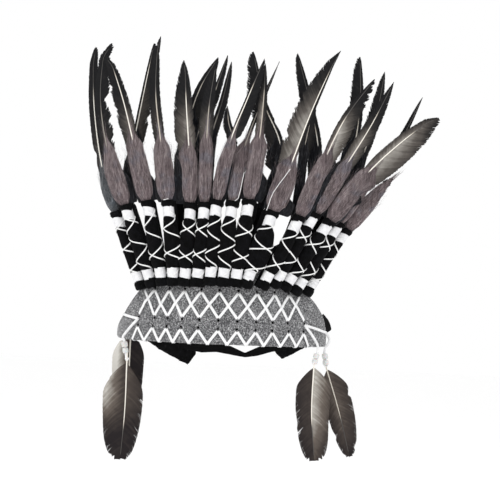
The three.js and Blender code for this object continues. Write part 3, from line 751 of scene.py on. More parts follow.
stem = dict(tail=9, head=10, radius=4.7, wrapRadius=5.1, backRadius=3.5, backHead=8)
flare = dict(reach=30, height=110, frontStart=60, backStart=78)
frontOffset = felt["thickness"] / 2 + gap + stem["wrapRadius"]
backOffset = -(felt["thickness"] / 2 + gap + stem["backRadius"])


# The line from a stem's lower end to its feather's tip.
def standingLine(row, offset, flareStart):
    leanOut = math.sin(math.radians(row["lean"])) * math.sin(math.radians(row["at"]))
    foot = ringPoint(row["at"], offset + stem["tail"] * leanOut, row["foot"])
    facing = math.cos(math.radians(row["at"]))
    places = [(foot.x, foot.z)]
    for lean, length in (
        (row["lean"], row["span"]),
        (row["fluffLean"], row["fluffLength"]),
        (row["vaneLean"] - row["bend"] / 4, row["vaneLength"] / 2),
        (row["vaneLean"] + row["bend"] / 4, row["vaneLength"] / 2),
    ):
        x, z = places[-1]
        turn = math.radians(lean)
        places.append((x + length * math.sin(turn), z + length * math.cos(turn)))
    tail = stem["tail"] / row["span"]
    (x, z), (nextX, nextZ) = places[:2]
    places.insert(0, (x - (nextX - x) * tail, z - (nextZ - z) * tail))
    knots = []
    for i, (x, z) in enumerate(places):
        height = max(0, z - flareStart)
        forward = flare["reach"] * (1 - math.exp(-height / flare["height"])) * facing
        knots.append(Vector((x, foot.y - forward - (row["forward"] if i > 2 else 0), z)))
    return Line(knots)


# How wide one side of a vane is, from 0 at its base to 1 at its tip.
def vaneWidth(row, full, along):
    baseShare = row.get("base", 0.75)
    rising = baseShare + (1 - baseShare) * math.sin(min(1, along / row["widest"]) * math.pi / 2)
    past = max(0, (along - row["widest"]) / (1 - row["widest"]))
    return max(0.3, full * rising * max(0, 1 - past ** 2) ** row["roundness"])


# What a notch leaves of one side's width. Each notch has a side, a place along the vane, a length and a
# depth.
def torn(notches, side, along):
    left = 1
    for where, place, length, depth in notches:
        if where == side:
            fall = smoothStep(along, place - length, place)
            rise = 1 - smoothStep(along, place, place + length * 0.35)
            left *= 1 - depth * min(fall, rise)
    return left


# How far a split pulls back the barbs below it. Each split has a side, a place, a length and a width.
def pulled(splits, side, along):
    back = 0
    for where, place, length, width in splits:
        if where == side and along < place:
            back -= width * smoothStep(along, place - length, place)
    return back


# Sideways hooks of the tips, notches torn in the vanes, and how far back vanes reach down past their fluff.
hooks = {1: 3, 2: 7, 3: -4, 4: 2.5, 5: -1, 10: 1.5, 13: 3}
notchRows = {
    1: [("left", 0.16, 0.1, 0.35)],
    2: [("right", 0.5, 0.16, 0.55), ("right", 0.3, 0.08, 0.3), ("right", 0.12, 0.06, 0.35),
        ("right", 0.75, 0.06, 0.12)],
    3: [("left", 0.68, 0.05, 0.3), ("left", 0.42, 0.12, 0.2), ("left", 0.2, 0.05, 0.12),
        ("right", 0.85, 0.04, 0.2)],
    4: [("left", 0.93, 0.03, 0.5), ("right", 0.85, 0.05, 0.3)],
    5: [("left", 0.12, 0.05, 0.3), ("right", 0.35, 0.1, 0.25)],
    7: [("right", 0.1, 0.08, 0.5)],
    10: [("left", 0.55, 0.06, 0.18), ("left", 0.25, 0.08, 0.25)],
    11: [("right", 0.95, 0.04, 0.7), ("right", 0.86, 0.05, 0.6), ("right", 0.77, 0.05, 0.4)],
    12: [("right", 0.3, 0.08, 0.4)],
}
lowVanes = {2: 20, 3: 8, 4: 8, 6: 18, 7: 12, 8: 22, 9: 10}
backNotches = {
    1: [("right", 0.86, 0.05, 0.4), ("right", 0.3, 0.06, 0.25)],
    6: [("left", 0.85, 0.1, 0.15), ("left", 0.35, 0.08, 0.3), ("right", 0.4, 0.08, 0.3)],
    8: [("left", 0.3, 0.1, 0.35)],
    9: [("left", 0.5, 0.06, 0.3)],
}

# Pale shares of each side and of the quill at the vane's base, and how far up they reach.
lookColumns = "paleLeft paleRight paleTop quill quillTop ragged"
frontLooks = table(lookColumns, [
    (0.35, 0.05, 0.5, 1.0, 0.75, 0.04),
    (0.2, 0.2, 0.4, 0.45, 0.5, 0.14),
    (0.45, 0.55, 0.6, 1.0, 0.9, 0.1),
    (0.35, 0.3, 0.5, 0.7, 0.6, 0.1),
    (0.6, 0.75, 0.75, 1.0, 0.75, 0.06),
    (0.5, 0.4, 0.6, 0.6, 0.6, 0.08),
    (0.4, 0.1, 0.5, 0.95, 0.8, 0.06),
    (0.3, 0.3, 0.4, 0.5, 0.6, 0.08),
    (0.7, 0.3, 0.9, 0.7, 0.8, 0.06),
    (0.75, 0.15, 0.9, 1.0, 0.9, 0.06),
    (0.6, 0.85, 0.8, 0.9, 0.6, 0.08),
    (0.7, 0.6, 0.7, 0.9, 0.75, 0.06),
    (0.7, 0.75, 1.3, 1.0, 0.8, 0.04),
    (0.2, 0.1, 0.4, 0.7, 0.5, 0.08),
    (0.1, 0.1, 0.5, 0.3, 0.5, 0.2),
])
backLooks = table(lookColumns, [
    (0.1, 0.4, 0.9, 1.0, 0.9, 0.06),
    (0.2, 0.3, 0.6, 0.8, 0.8, 0.06),
    (0.3, 0.25, 0.6, 0.6, 0.8, 0.08),
    (0.2, 0.2, 0.5, 0.5, 0.5, 0.08),
    (0.1, 0.1, 0.5, 0.6, 0.9, 0.08),
    (0.25, 0.1, 0.6, 1.0, 0.6, 0.08),
    (0.3, 0.3, 0.8, 0.6, 0.8, 0.08),
    (0.15, 0.1, 0.5, 1.0, 0.5, 0.08),
    (0.2, 0.1, 0.5, 0.8, 0.5, 0.1),
    (0.2, 0.15, 0.5, 0.8, 0.6, 0.1),
])
vane = dict(sweep=0.95, curl=0.45, clump=0.05, cup=0.1, barbThickness=0.16)
quill = dict(barbSpacing=0.72, base=0.68, tip=0.22, below=16, step=1.0, dark=0.1, endStart=0.93, end=0.97,
             hookStart=0.84, hookEnd=1.04)


# A feather along a line. Its quill goes on below the vane, which reaches from the start to the line's end.
def featherMesh(row, look, line, start, facing, seed, material="vane", hook=0.0, notches=(), splits=()):
    first, end = start - quill["below"], line.length
    count = max(12, round((end - first) / quill["step"]))
    points, marks = [], []
    for i in range(count + 1):
        distance = mix(first, end, i / count)
        along = max(0, (distance - start) / (end - start))
        point, _, sideways, outward = line.frame(distance, facing)
        points.append(point + sideways * hook * smoothStep(along, quill["hookStart"], quill["hookEnd"]))
        fade = 1 - smoothStep(along, look["paleTop"] * 0.35, look["paleTop"])
        quillFade = 1 - smoothStep(along, look["quillTop"] - 0.2, look["quillTop"])
        quillEnd = 1 - smoothStep(along, quill["endStart"], quill["end"])
        marks.append(dict(sideways=sideways, outward=outward,
                          quillPale=mix(quill["dark"], look["quill"], quillFade),
                          quillRadius=mix(quill["base"], quill["tip"], along) * quillEnd))
        for side in ("left", "right"):
            marks[-1][side + "Reach"] = vaneWidth(row, row[side], along) * torn(notches, side, along)
            marks[-1][side + "Pale"] = look["pale" + side.capitalize()] * fade
            marks[-1][side + "Shift"] = pulled(splits, side, along)
    return grow("feather", pathMesh([points], marks), barbs=round((end - start) / quill["barbSpacing"]),
                start=quill["below"] / (end - first), ragged=look["ragged"], seed=seed, vaneMaterial=material,
                quillMaterial="quill", **vane)


fluff = dict(corners=20, rings=22, hairs=340, core=0.96, flatness=0.65, tipDepth=1.3, closing=0.65, lump=0.9,
             tuck=0.2, fade=12, backWide=1.35, underShift=-3.2)
brushedHairs = dict(shortest=0.25, longest=0.55, first=0.0, last=0.72, hairRadius=0.2, wave=0.35, lift=0.14,
                    inset=0.96)
wispHairs = dict(shortest=0.18, longest=0.45, first=0.3, last=0.9, hairRadius=0.12, wave=1.3, lift=1.1,
                 inset=0.92)

# How far the painted shade behind each front fluff, a layer of near-black down, stands out on either side and
# how far up it reaches, and the share of its width that the fluff itself keeps at its top.
shadeDownRows = table("left right reach top", [
    (0.9, 1.2, 0.6, 0.7), (1.12, 1.5, 0.6, 0.55), (1.2, 1.2, 0.55, 1.0), (1.35, 1.5, 0.6, 0.95),
    (2.3, 1.1, 1.0, 0.95), (1.15, 1.15, 0.6, 0.95), (1.1, 1.3, 0.6, 0.6), (1.2, 1.2, 0.6, 1.6),
    (1.25, 1.9, 0.6, 1.15), (0.95, 1.7, 0.45, 0.75), (0.7, 2.2, 1.0, 0.75), (2.7, 1.2, 1.0, 0.85),
    (1.0, 1.2, 0.6, 0.9), (1.4, 1.2, 0.6, 0.8), (1.1, 1.0, 0.6, 0.7),
])
# Plume 1's down is slate blue, and darker as painted shade.
fluffTints = {1: "coolDown"}
# Thin pale threads left lying on some fluffs: shares of the fluff's length and millimetres to the right.
fluffThread = dict(step=1.0, halfWidth=0.32, halfThickness=0.3, corners=6, material="string")
fluffThreads = {
    4: [(0.05, -2.2), (0.055, 0), (0.065, 2.5)],
    8: [(0.0, 0), (0.05, 2.5), (0.1, 4.4), (0.25, 5.0), (0.45, 5.2), (0.62, 5.3)],
    10: [(0.0, -6.5), (0.1, -6.5), (0.25, -6.8), (0.4, -6.5), (0.6, -4.5), (0.8, -2), (0.98, 0)],
}
backRollRows = table("left right", [
    (5, 4), (4, 9), (9, 5.5), (6, 6), (3.5, 3.5), (9, 4), (3.5, 4), (4, 4), (5, 5), (5, 5),
])


# Down round the foot of a feather: a soft core, hairs brushed up along it, and wisps that stand off it.
def fluffMeshes(row, line, start, vaneStart, facing, seed, material, hairs, wideLeft=1.0, wideRight=1.0,
                shift=0.0, reach=1.0, top=0.5, squeeze=0.36):
    vaneStart = mix(start, vaneStart, reach)
    end = vaneStart + fluff["fade"]
    rings, points, marks = [], [], []
    for i in range(fluff["rings"]):
        distance = mix(start, end, i / (fluff["rings"] - 1))
        along = min(1, max(0, (distance - start) / (vaneStart - start)))
        swell = row["fluff"] * (0.9 + 0.16 * math.sin(math.pi * along ** 0.7))
        swell *= 1 - squeeze * (1 - smoothStep(distance, start, start + 10))
        closing = smoothStep(along, fluff["closing"], 1)
        tip = 1 - 0.75 * smoothStep(distance, vaneStart - 3, end)
        left, right = (
            mix(swell * wide, max(top * row["fluff"], 0.75 * row[side]) * wide ** 0.5, closing) * tip
            for side, wide in (("left", wideLeft), ("right", wideRight)))
        depth = mix(fluff["flatness"] * swell, fluff["tipDepth"], closing) * tip
        point, _, sideways, outward = line.frame(distance, facing)
        point = point + outward * shift
        points.append(point)
        marks.append(dict(sideways=sideways, outward=outward, leftRadius=left, rightRadius=right,
                          depthRadius=depth))
        rings.append([])
        for turn in turnsRound(fluff["corners"]):
            width = right if math.cos(turn) > 0 else left
            spoke = sideways * math.cos(turn) * width + outward * math.sin(turn) * depth
            spot = point + spoke * fluff["core"]
            lumps = Vector((spot.x * 0.35, spot.y * 0.35 + seed, spot.z * 0.08))
            bump = noise.noise(lumps) * fluff["lump"] * tip
            rings[-1].append(spot + (spot - point).normalized() * bump)
    meshes = [skin(rings, material)]
    for kind, number, ownSeed in ((brushedHairs, hairs, seed), (wispHairs, hairs // 3, seed + 50)):
        meshes.append(grow("hairs", pathMesh([points], marks), hairs=number, seed=ownSeed, material=material,
                           **kind))
    return meshes


def makePlumes():
    for i, (row, look, shade) in enumerate(zip(frontRow, frontLooks, shadeDownRows), 1):
        name, facing = f"plume_{i:02d}", row["at"] / 2
        line = standingLine(row, frontOffset, flare["frontStart"])
        vaneStart = line.length - row["vaneLength"]
        collar = stem["tail"] + row["span"] + stem["head"] - fluff["tuck"]
        place = (row, line, collar, vaneStart, facing)
        feather = featherMesh(row, look, line, vaneStart, facing, 100 + i, hook=hooks.get(i, 0),
                              notches=notchRows.get(i, ()))
        piece(name + "_feather", [feather], "plume", name)
        soft = fluffMeshes(*place, 200 + i, fluffTints.get(i, "down"), fluff["hairs"], top=shade["top"])
        # A darker, wider, flatter layer of down behind the fluff: painted shade in the gaps between fluffs.
        under = fluffMeshes(*place, 250 + i, "darkDown", fluff["hairs"] // 3, shade["left"], shade["right"],
                            fluff["underShift"], shade["reach"], squeeze=0)
        if i in fluffThreads:
            path = []
            for share, aside in fluffThreads[i]:
                point, _, sideways, outward = line.frame(mix(collar, vaneStart, share), facing)
                proud = 0.72 * row["fluff"] - 0.035 * aside * aside
                path.append((point + sideways * aside + outward * proud, outward))
            soft.append(threadMesh([path], **fluffThread))
        piece(name + "_fluff", soft + under, "plume", name)
    print("front plumes are ready")
    for i, (row, look, wide) in enumerate(zip(backRow, backLooks, backRollRows), 1):
        name, facing = f"back_feather_{i:02d}", row["at"] / 2
        line = standingLine(row, backOffset, flare["backStart"])
        vaneStart = line.length - row["vaneLength"]
        feather = featherMesh(row, look, line, vaneStart - lowVanes.get(i, 4), facing, 300 + i,
                              notches=backNotches.get(i, ()))
        piece(name + "_feather", [feather], "back_feather", name)
        low = row["span"] + stem["backHead"] - fluff["tuck"]
        soft = fluffMeshes(row, line, low, vaneStart, facing, 400 + i, "darkDown", fluff["hairs"] // 2,
                           fluff["backWide"], fluff["backWide"])
        piece(name + "_fluff", soft, "back_feather", name)
        clear = rowAt(feltRows, row["at"])["top"] + stem["backRadius"] - row["foot"]
        bottom = stem["tail"] + clear / math.cos(math.radians(row["lean"]))
        foot = widths(wide["left"] * 0.8, wide["right"] * 0.8, stem["backRadius"])
        full = widths(wide["left"], wide["right"], stem["backRadius"])
        marks = [(bottom, foot * 0.7), (bottom + 2, foot), (low - 4, full), (low + 2, full),
                 (low + 5, full * 0.8)]
        piece(name + "_roll", [rollMesh(row, line, marks, 60 + i)], "back_feather", name)
    print("back feathers are ready")


# The stems: cloth rolls, pinched by two windings each, with two strings that cross between them.
winding = dict(radius=4.85, core=4.75, height=9.6, pitch=1.55, steps=24, jitter=0.24, slant=0.4,
               archUpper=2.2, archLower=0.8)
string = dict(step=1.1, sway=0.15, lift=0.216, underneath=0.05, onTop=0.4)
windingThread = dict(step=0.9, halfWidth=0.98, halfThickness=0.3, corners=8, material="winding")
crossingString = dict(step=0.9, halfWidth=0.64, halfThickness=0.36, corners=7, material="string")
cloth = dict(corners=28, step=1.0, pinch=4.4, edge=5.2, wrinkle=0.22, fray=1.3, frayLength=2.5, stub=3.2,
             depth=5.1, collar=6.5, foot=6.5, backShift=-3.5, backDepth=1.2)
clothFuzz = dict(density=0.16, fibreLength=1.5, fibreRadius=0.07, stand=0.5, material="roll")

# Half widths of a stem's cloth to the left and right between its windings. Where its two strings cross: the
# height of the first crossing above the lower winding, the pitch, and the angles round the stem at the first
# crossing and one pitch above it, from 0 on the right over 90 in front. loose is how jumbled its lower
# winding is.
stemRows = table("left right first pitch turn nextTurn loose", [
    (5, 7, 8, 20, 95, 90, 2), (7, 8, 14, 24.5, 140, 180, 1.5), (8, 6.4, 17.4, 24.3, 100, 165, 2),
    (6.4, 9, 18.8, 22, 105, 135, 1), (8, 6, 16.3, 25, 82, 88, 1), (6, 6, 17.9, 23, 112, 116, 1),
    (6, 7.3, 15.5, 24, 175, 175, 1), (7.3, 7.5, 17, 24, 180, 180, 1), (7.5, 8, 16.2, 23.7, 69, 61, 1),
    (8.5, 12, 8.2, 20.5, 80, 65, 3), (5, 7, 14.8, 22, 90, 175, 1.5), (7, 6.5, 19.3, 22.6, 40, 90, 1),
    (6.5, 7, 13, 25, 60, 130, 2), (7, 7, 15, 28, 60, 90, 5), (7, 3.8, 11.5, 22.4, 20, 20, 5),
])
# How far the cloth behind some stems reaches to the left and right lower down, the share of the span where
# that ends, and how far it reaches beside the upper winding.
behindSides = {2: (6, 9, 0.7, 5, 9.2), 3: (6.3, 6.3, 0.35, 5, 6.8), 4: (6, 6.3, 0.35, 5, 7),
               5: (6.3, 7, 0.85, 4.5, 6.5), 9: (6.3, 8, 0.8, 5, 9), 10: (7, 11, 0.42, 9, 5),
               11: (9, 6, 0.5, 4.5, 5)}
plainBehind = (6.3, 6.3, 0.8, 4.5, 4.5)


# The value at a place, drawn straight between the two marks round it.
def drawnThrough(marks, value):
    for (low, first), (high, second) in zip(marks, marks[1:]):
        if value <= high or (high, second) == marks[-1]:
            return mix(first, second, min(1, max(0, (value - low) / (high - low))))
    return marks[-1][1]


def widths(left, right, depth):
    return Vector((left, right, depth))


# Half widths of a roll along its stem: pinched under its windings, swelling between them, flared at its ends.
def rollMarks(row, shape):
    lower, upper = stem["tail"], stem["tail"] + row["span"]
    half, end = winding["height"] / 2, upper + stem["head"]
    pinched, edge = widths(*[cloth["pinch"]] * 3), widths(cloth["edge"], cloth["edge"], stem["radius"] + 0.2)
    foot = widths(cloth["foot"], cloth["foot"], cloth["depth"] - 0.2)
    collar = widths(cloth["collar"], cloth["collar"], cloth["depth"] + 0.1)
    marks = [(-cloth["stub"], foot * 0.8), (-cloth["stub"] + 1.2, foot * 0.98), (lower - half - 1.6, foot),
             (lower - half - 0.2, edge), (lower - half + 0.6, pinched), (lower + half - 0.6, pinched),
             (lower + half + 0.2, edge)]
    for step in range(1, 12):
        share = step / 12
        swell = math.sin(math.pi * share ** 0.75) ** 0.55
        body = widths(shape["left"], shape["right"], row["body"])
        marks.append((mix(lower + half, upper - half, share), mix(edge, body, swell)))
    return marks + [(upper - half - 0.2, edge), (upper - half + 0.6, pinched), (upper + half - 0.6, pinched),
                    (upper + half + 0.2, edge), (upper + half + 0.9, collar * 0.93),
                    (upper + half + 2.2, collar), (end - 0.4, collar * 0.97), (end + 0.8, collar * 0.86),
                    (end + 1.5, collar * 0.6)]


# A place round a stem, at an angle from 0 on the right over a quarter turn in front, and the direction away
# from the stem there.
def around(line, distance, facing, turn, size, proud=0.0, shift=0.0):
    point, _, sideways, outward = line.frame(distance, facing)
    width = size[1] if math.cos(turn) > 0 else size[0]
    spoke = sideways * math.cos(turn) * width + outward * math.sin(turn) * size[2]
    away = (sideways * math.cos(turn) / width + outward * math.sin(turn) / size[2]).normalized()
    return point + outward * shift + spoke + away * proud, away


# A roll of creased cloth along a stem, with frayed ends, through marks of (distance, half widths).
def rollMesh(row, line, marks, seed, shift=0.0, arch=0.0):
    start, end = marks[0][0], marks[-1][0]
    count = round((end - start) / cloth["step"])
    rings = []
    for i in range(count + 1):
        distance = mix(start, end, i / count)
        nearTop = smoothStep(distance, end - cloth["frayLength"], end)
        nearFoot = smoothStep(-distance, -start - cloth["frayLength"], -start)
        frayed = cloth["fray"] * (nearTop + nearFoot)
        rings.append([])
        for turn in turnsRound(cloth["corners"]):
            spot = Vector((math.cos(turn) * 2.2, math.sin(turn) * 2.2 + seed * 7, distance * 0.09))
            crease = cloth["wrinkle"] * (noise.noise(spot) + 0.6 * noise.noise(spot * 3.1))
            slip = frayed * noise.noise(Vector((turn * 1.9, seed * 3.3, 0)))
            arched = arch * max(0, math.sin(turn)) * smoothStep(distance, 20, 45)
            size = drawnThrough(marks, distance - arched)
            rings[-1].append(around(line, distance + slip, row["at"], turn, size, crease, shift)[0])
    return skin(rings, "roll")


# Thread wound over a core of its own colour. It arches upwards in front, and loose turns slip along the stem.
def windingMeshes(row, line, middle, arch, loose, seed):
    chance = random.Random(seed)
    turns = winding["height"] / winding["pitch"]
    total = round(turns * winding["steps"])
    start = middle - winding["height"] / 2 + windingThread["halfWidth"] * 0.6
    reach = winding["height"] - windingThread["halfWidth"] * 1.2
    slant = chance.uniform(-winding["slant"], winding["slant"])
    wobble = [chance.uniform(-1, 1) for _ in range(2 * math.ceil(turns) + 4)]
    first = chance.uniform(0, 2 * math.pi)

    def wound(share, turn, radius, slip=0.0):
        distance = start + reach * share + arch * max(0, math.sin(turn)) + slant * math.cos(turn) + slip
        return around(line, distance, row["at"], turn, widths(*[radius] * 3), 0.05 * abs(slip))

    path = []
    for i in range(total + 1):
        share = i / total
        whole = share * turns * 2
        slip = mix(wobble[int(whole)], wobble[int(whole) + 1], whole % 1) * winding["jitter"] * loose
        path.append(wound(share, first + share * turns * 2 * math.pi, winding["radius"], slip))
    rings = [[wound(share, turn, winding["core"] - (0.3 if share in (0, 1) else 0))[0]
              for turn in turnsRound(cloth["corners"])] for share in (0, 0.02, 0.98, 1)]
    return [threadMesh([path], **windingThread), skin(rings, "winding")]


# Two strings that wind opposite ways round a roll. The second one lies on top where they cross.
def stringMesh(row, line, marks, shape, seed):
    low, high = stem["tail"] - 2, stem["tail"] + row["span"] + 2
    count = round((high - low) / string["step"])
    paths = []
    for side, proud in ((1, string["underneath"]), (-1, string["onTop"])):
        paths.append([])
        for i in range(count + 1):
            distance = mix(low, high, i / count)
            pitches = (distance - stem["tail"] - shape["first"]) / shape["pitch"]
            turn = math.radians(mix(shape["turn"], shape["nextTurn"], pitches)) + side * 2 * math.pi * pitches
            turn += string["sway"] * noise.noise(Vector((distance * 0.1, seed * 5.1, side)))
            size = widths(*[max(half, winding["radius"]) for half in drawnThrough(marks, distance)])
            paths[-1].append(around(line, distance, row["at"], turn, size, string["lift"] + proud))
    return threadMesh(paths, **crossingString)


def makeStems():
    for i, (row, shape) in enumerate(zip(frontRow, stemRows), 1):
        name = f"stem_{i:02d}"
        line = standingLine(row, frontOffset, flare["frontStart"])
        marks = rollMarks(row, shape)
        lowLeft, lowRight, until, left, right = behindSides.get(i, plainBehind)
        flat, body, wide = (widths(*sides, cloth["backDepth"]) for sides in (
            (cloth["foot"], cloth["foot"]), (lowLeft, lowRight), (left, right)))
        tail, upper = stem["tail"], stem["tail"] + row["span"]
        bodyEnd, top = tail + until * row["span"], upper + stem["head"]
        roll = rollMesh(row, line, marks, i, arch=winding["archUpper"])
        behindMarks = [(-cloth["stub"], flat), (tail + winding["height"], flat),
                       (tail + 2 * winding["height"], body), (bodyEnd, body), (bodyEnd + 5, wide),
                       (top - 3, wide), (top, wide * 0.8)]
        behind = rollMesh(row, line, behindMarks, i + 40, cloth["backShift"])
        fuzz = grow("fuzz", roll.copy(), seed=500 + i, **clothFuzz)
        piece(name + "_roll", [roll, behind, fuzz], "cloth", name)
        windings = windingMeshes(row, line, tail, winding["archLower"], shape["loose"], 600 + i)
        windings += windingMeshes(row, line, upper, winding["archUpper"], 1, 700 + i)
        piece(name + "_windings", windings, "lace", name)
        piece(name + "_strings", [stringMesh(row, line, marks, shape, i)], "lace", name)
    print("stems are ready")


# The felt band and its laces. Walls are given by their edges' heights at places round the ring.
wallColumns = "at bottom top out"
feltRows = table(wallColumns, [
    (-84, 4, 8, 0), (-79, 1, 13, 0), (-67, 0, 24, 0), (-52, 0, 45, 0), (-38, 0, 64, 0), (12, 0, 64, 0),
    (20, 0, 77, 0), (26, 0, 77, 0), (38, 0, 64, 0), (55, 0, 46, 0), (67, 0, 34, 0), (75, 0, 24, 0),
    (80, 0, 13, 0), (84, 2, 8, 0),
])
lattice = dict(
    top=47.3, bottom=23.6,
    upper=[-46, -38.5, -29, -20, -11, -1.5, 8.5, 18.5, 28.5, 37.5, 45.5],
    lower=[-50, -38, -29.5, -21, -11.5, -1.5, 8.5, 18.5, 28, 37.5, 50],
)
zigzag = dict(
    top=12, foot=0, spread=4.6,
    points=[-50.5, -39, -30, -21.5, -12, -1.5, 8.5, 18.5, 28, 38.5, 49.5],
)
hole = dict(rise=2.0, edgeRise=2.4, radius=1.2, corners=16, inset=1.9, drillLength=9)
lace = dict(crossing=1.2, step=1.5, bow=0.4)
flatLace = dict(step=1.4, halfWidth=1.3, halfThickness=0.42, corners=10, material="lace")
feltFuzz = dict(density=0.16, fibreLength=1.7, fibreRadius=0.07, stand=0.22, seed=900, material="felt")
faceOffset = felt["thickness"] / 2 + gap + flatLace["halfThickness"]
# A black sheet just inside the felt behind its holes, which shows through them as painted shade.
holeShadeThickness = 0.3
holeShadeOffset = -(felt["thickness"] / 2 + 0.05 + holeShadeThickness / 2)
holeShadeRows = table(wallColumns, [(-53, 6, 34, holeShadeOffset), (-46, 6, 51, holeShadeOffset),
                                 (46, 6, 51, holeShadeOffset), (53, 6, 34, holeShadeOffset)])


# A wall's values at any place round the ring.
def rowAt(rows, at):
    return {key: drawnThrough([(row["at"], row[key]) for row in rows], at) for key in rows[0]}


# A cloth wall round the ring with rounded, slightly uneven edges.
def wallMesh(rows, thickness, material, step, levels, rough, seed):
    first, last = rows[0]["at"], rows[-1]["at"]
    count = max(2, round((last - first) / step))
    half = thickness / 2
    rings = []
    for i in range(count + 1):
        at = mix(first, last, i / count)
        here = rowAt(rows, at)
        bottom, top = (
            here[edge] + (rough * noise.noise(Vector((at * 0.35, seed + end, 0)))
                          + 0.5 * rough * noise.noise(Vector((at * 1.3, seed + end, 5))))
            for edge, end in (("bottom", 0), ("top", 3)))
        closing = min(1, 0.45 + min(i, count - i) * 0.3)
        low, high, bevel = bottom + half * 0.7, top - half * 0.7, half * 0.15
        shares = [level / levels for level in range(levels + 1)]
        section = [(half, mix(low, high, share)) for share in shares]
        section += [(half * 0.6, top - bevel), (0, top), (-half * 0.6, top - bevel)]
        section += [(-half, mix(high, low, share)) for share in shares]
        section += [(-half * 0.6, bottom + bevel), (0, bottom), (half * 0.6, bottom + bevel)]
        rings.append([])
        for offset, height in section:
            wave = 0.12 * noise.noise(Vector((at * 0.2, height * 0.12, seed)))
            rings[-1].append(ringPoint(at, here["out"] + offset * closing + wave, height))
    return skin(rings, material)


# A wall's flat size and area before it was bent round the ring, in metres.
def flatArea(rows):
    total, length = 0, 0
    for at in range(round(rows[0]["at"]), round(rows[-1]["at"])):
        here = rowAt(rows, at + 0.5)
        width = (ringPoint(at + 1, here["out"], 0) - ringPoint(at, here["out"], 0)).length
        total += width * (here["top"] - here["bottom"])
        length += width
    height = max(row["top"] for row in rows) - min(row["bottom"] for row in rows)
    return (height * mm, length * mm), total * mm * mm


# Rods through the felt, which are cut out of it as holes for the laces. They carry the black tab cloth, which
# the cut leaves on the holes' walls as painted shade.
def drillMesh(places):
    shape = bmesh.new()
    for at, height in places:
        outward = ringOutward(at)
        turn = outward.to_track_quat("Z", "Y").to_matrix().to_4x4()
        place = Matrix.Translation(ringPoint(at, 0, height))
        bmesh.ops.create_cone(shape, cap_ends=True, segments=hole["corners"], radius1=hole["radius"],
                              radius2=hole["radius"], depth=hole["drillLength"], matrix=place @ turn)
    mesh = bpy.data.meshes.new("drills")
    shape.to_mesh(mesh)
    shape.free()
    mesh.materials.append(materials["tabCloth"])
    return mesh


def cutWith(mesh, cutter):
    body = bpy.data.objects.new("body", mesh)
    tool = bpy.data.objects.new("tool", cutter)
    for holder in (body, tool):
        bpy.context.scene.collection.objects.link(holder)
    cut = body.modifiers.new("cut", "BOOLEAN")
    cut.object, cut.operation, cut.solver = tool, "DIFFERENCE", "EXACT"
    cut.material_mode = "TRANSFER"
    graph = bpy.context.evaluated_depsgraph_get()
    done = bpy.data.meshes.new_from_object(body.evaluated_get(graph), depsgraph=graph)
    for holder in (body, tool):
        bpy.data.objects.remove(holder)
    return done


# A lace over places (at, height, offset) round the ring, with points close together.
def lacePath(places):
    path = []
    for (at, height, offset), (nextAt, nextHeight, nextOffset) in zip(places, places[1:]):
        reach = (ringPoint(nextAt, nextOffset, nextHeight) - ringPoint(at, offset, height)).length
        count = max(1, round(reach / lace["step"]))
        for share in [i / count for i in range(count)]:
            here = mix(at, nextAt, share)
            path.append((ringPoint(here, mix(offset, nextOffset, share), mix(height, nextHeight, share)),
                         ringOutward(here)))
    at, height, offset = places[-1]
    return path + [(ringPoint(at, offset, height), ringOutward(at))]


# One leg of the lattice comes out of a hole, lies over or under the other lace and goes into the next hole.
def latticeLeg(start, end, over, seed):
    chance = random.Random(seed)
    bow = chance.uniform(-lace["bow"], lace["bow"])
    partly, fully = faceOffset + over * 0.3, faceOffset + over
    places = []
    for share, offset in ((0, 0.2), (0.03, 1.6), (0.07, faceOffset), (0.36, partly), (0.46, fully),
                          (0.54, fully), (0.64, partly), (0.93, faceOffset), (0.97, 1.6), (1, 0.2)):
        sideways = bow * math.sin(math.pi * share)
        places.append((mix(start[0], end[0], share) + sideways, mix(start[1], end[1], share), offset))
    return lacePath(places)


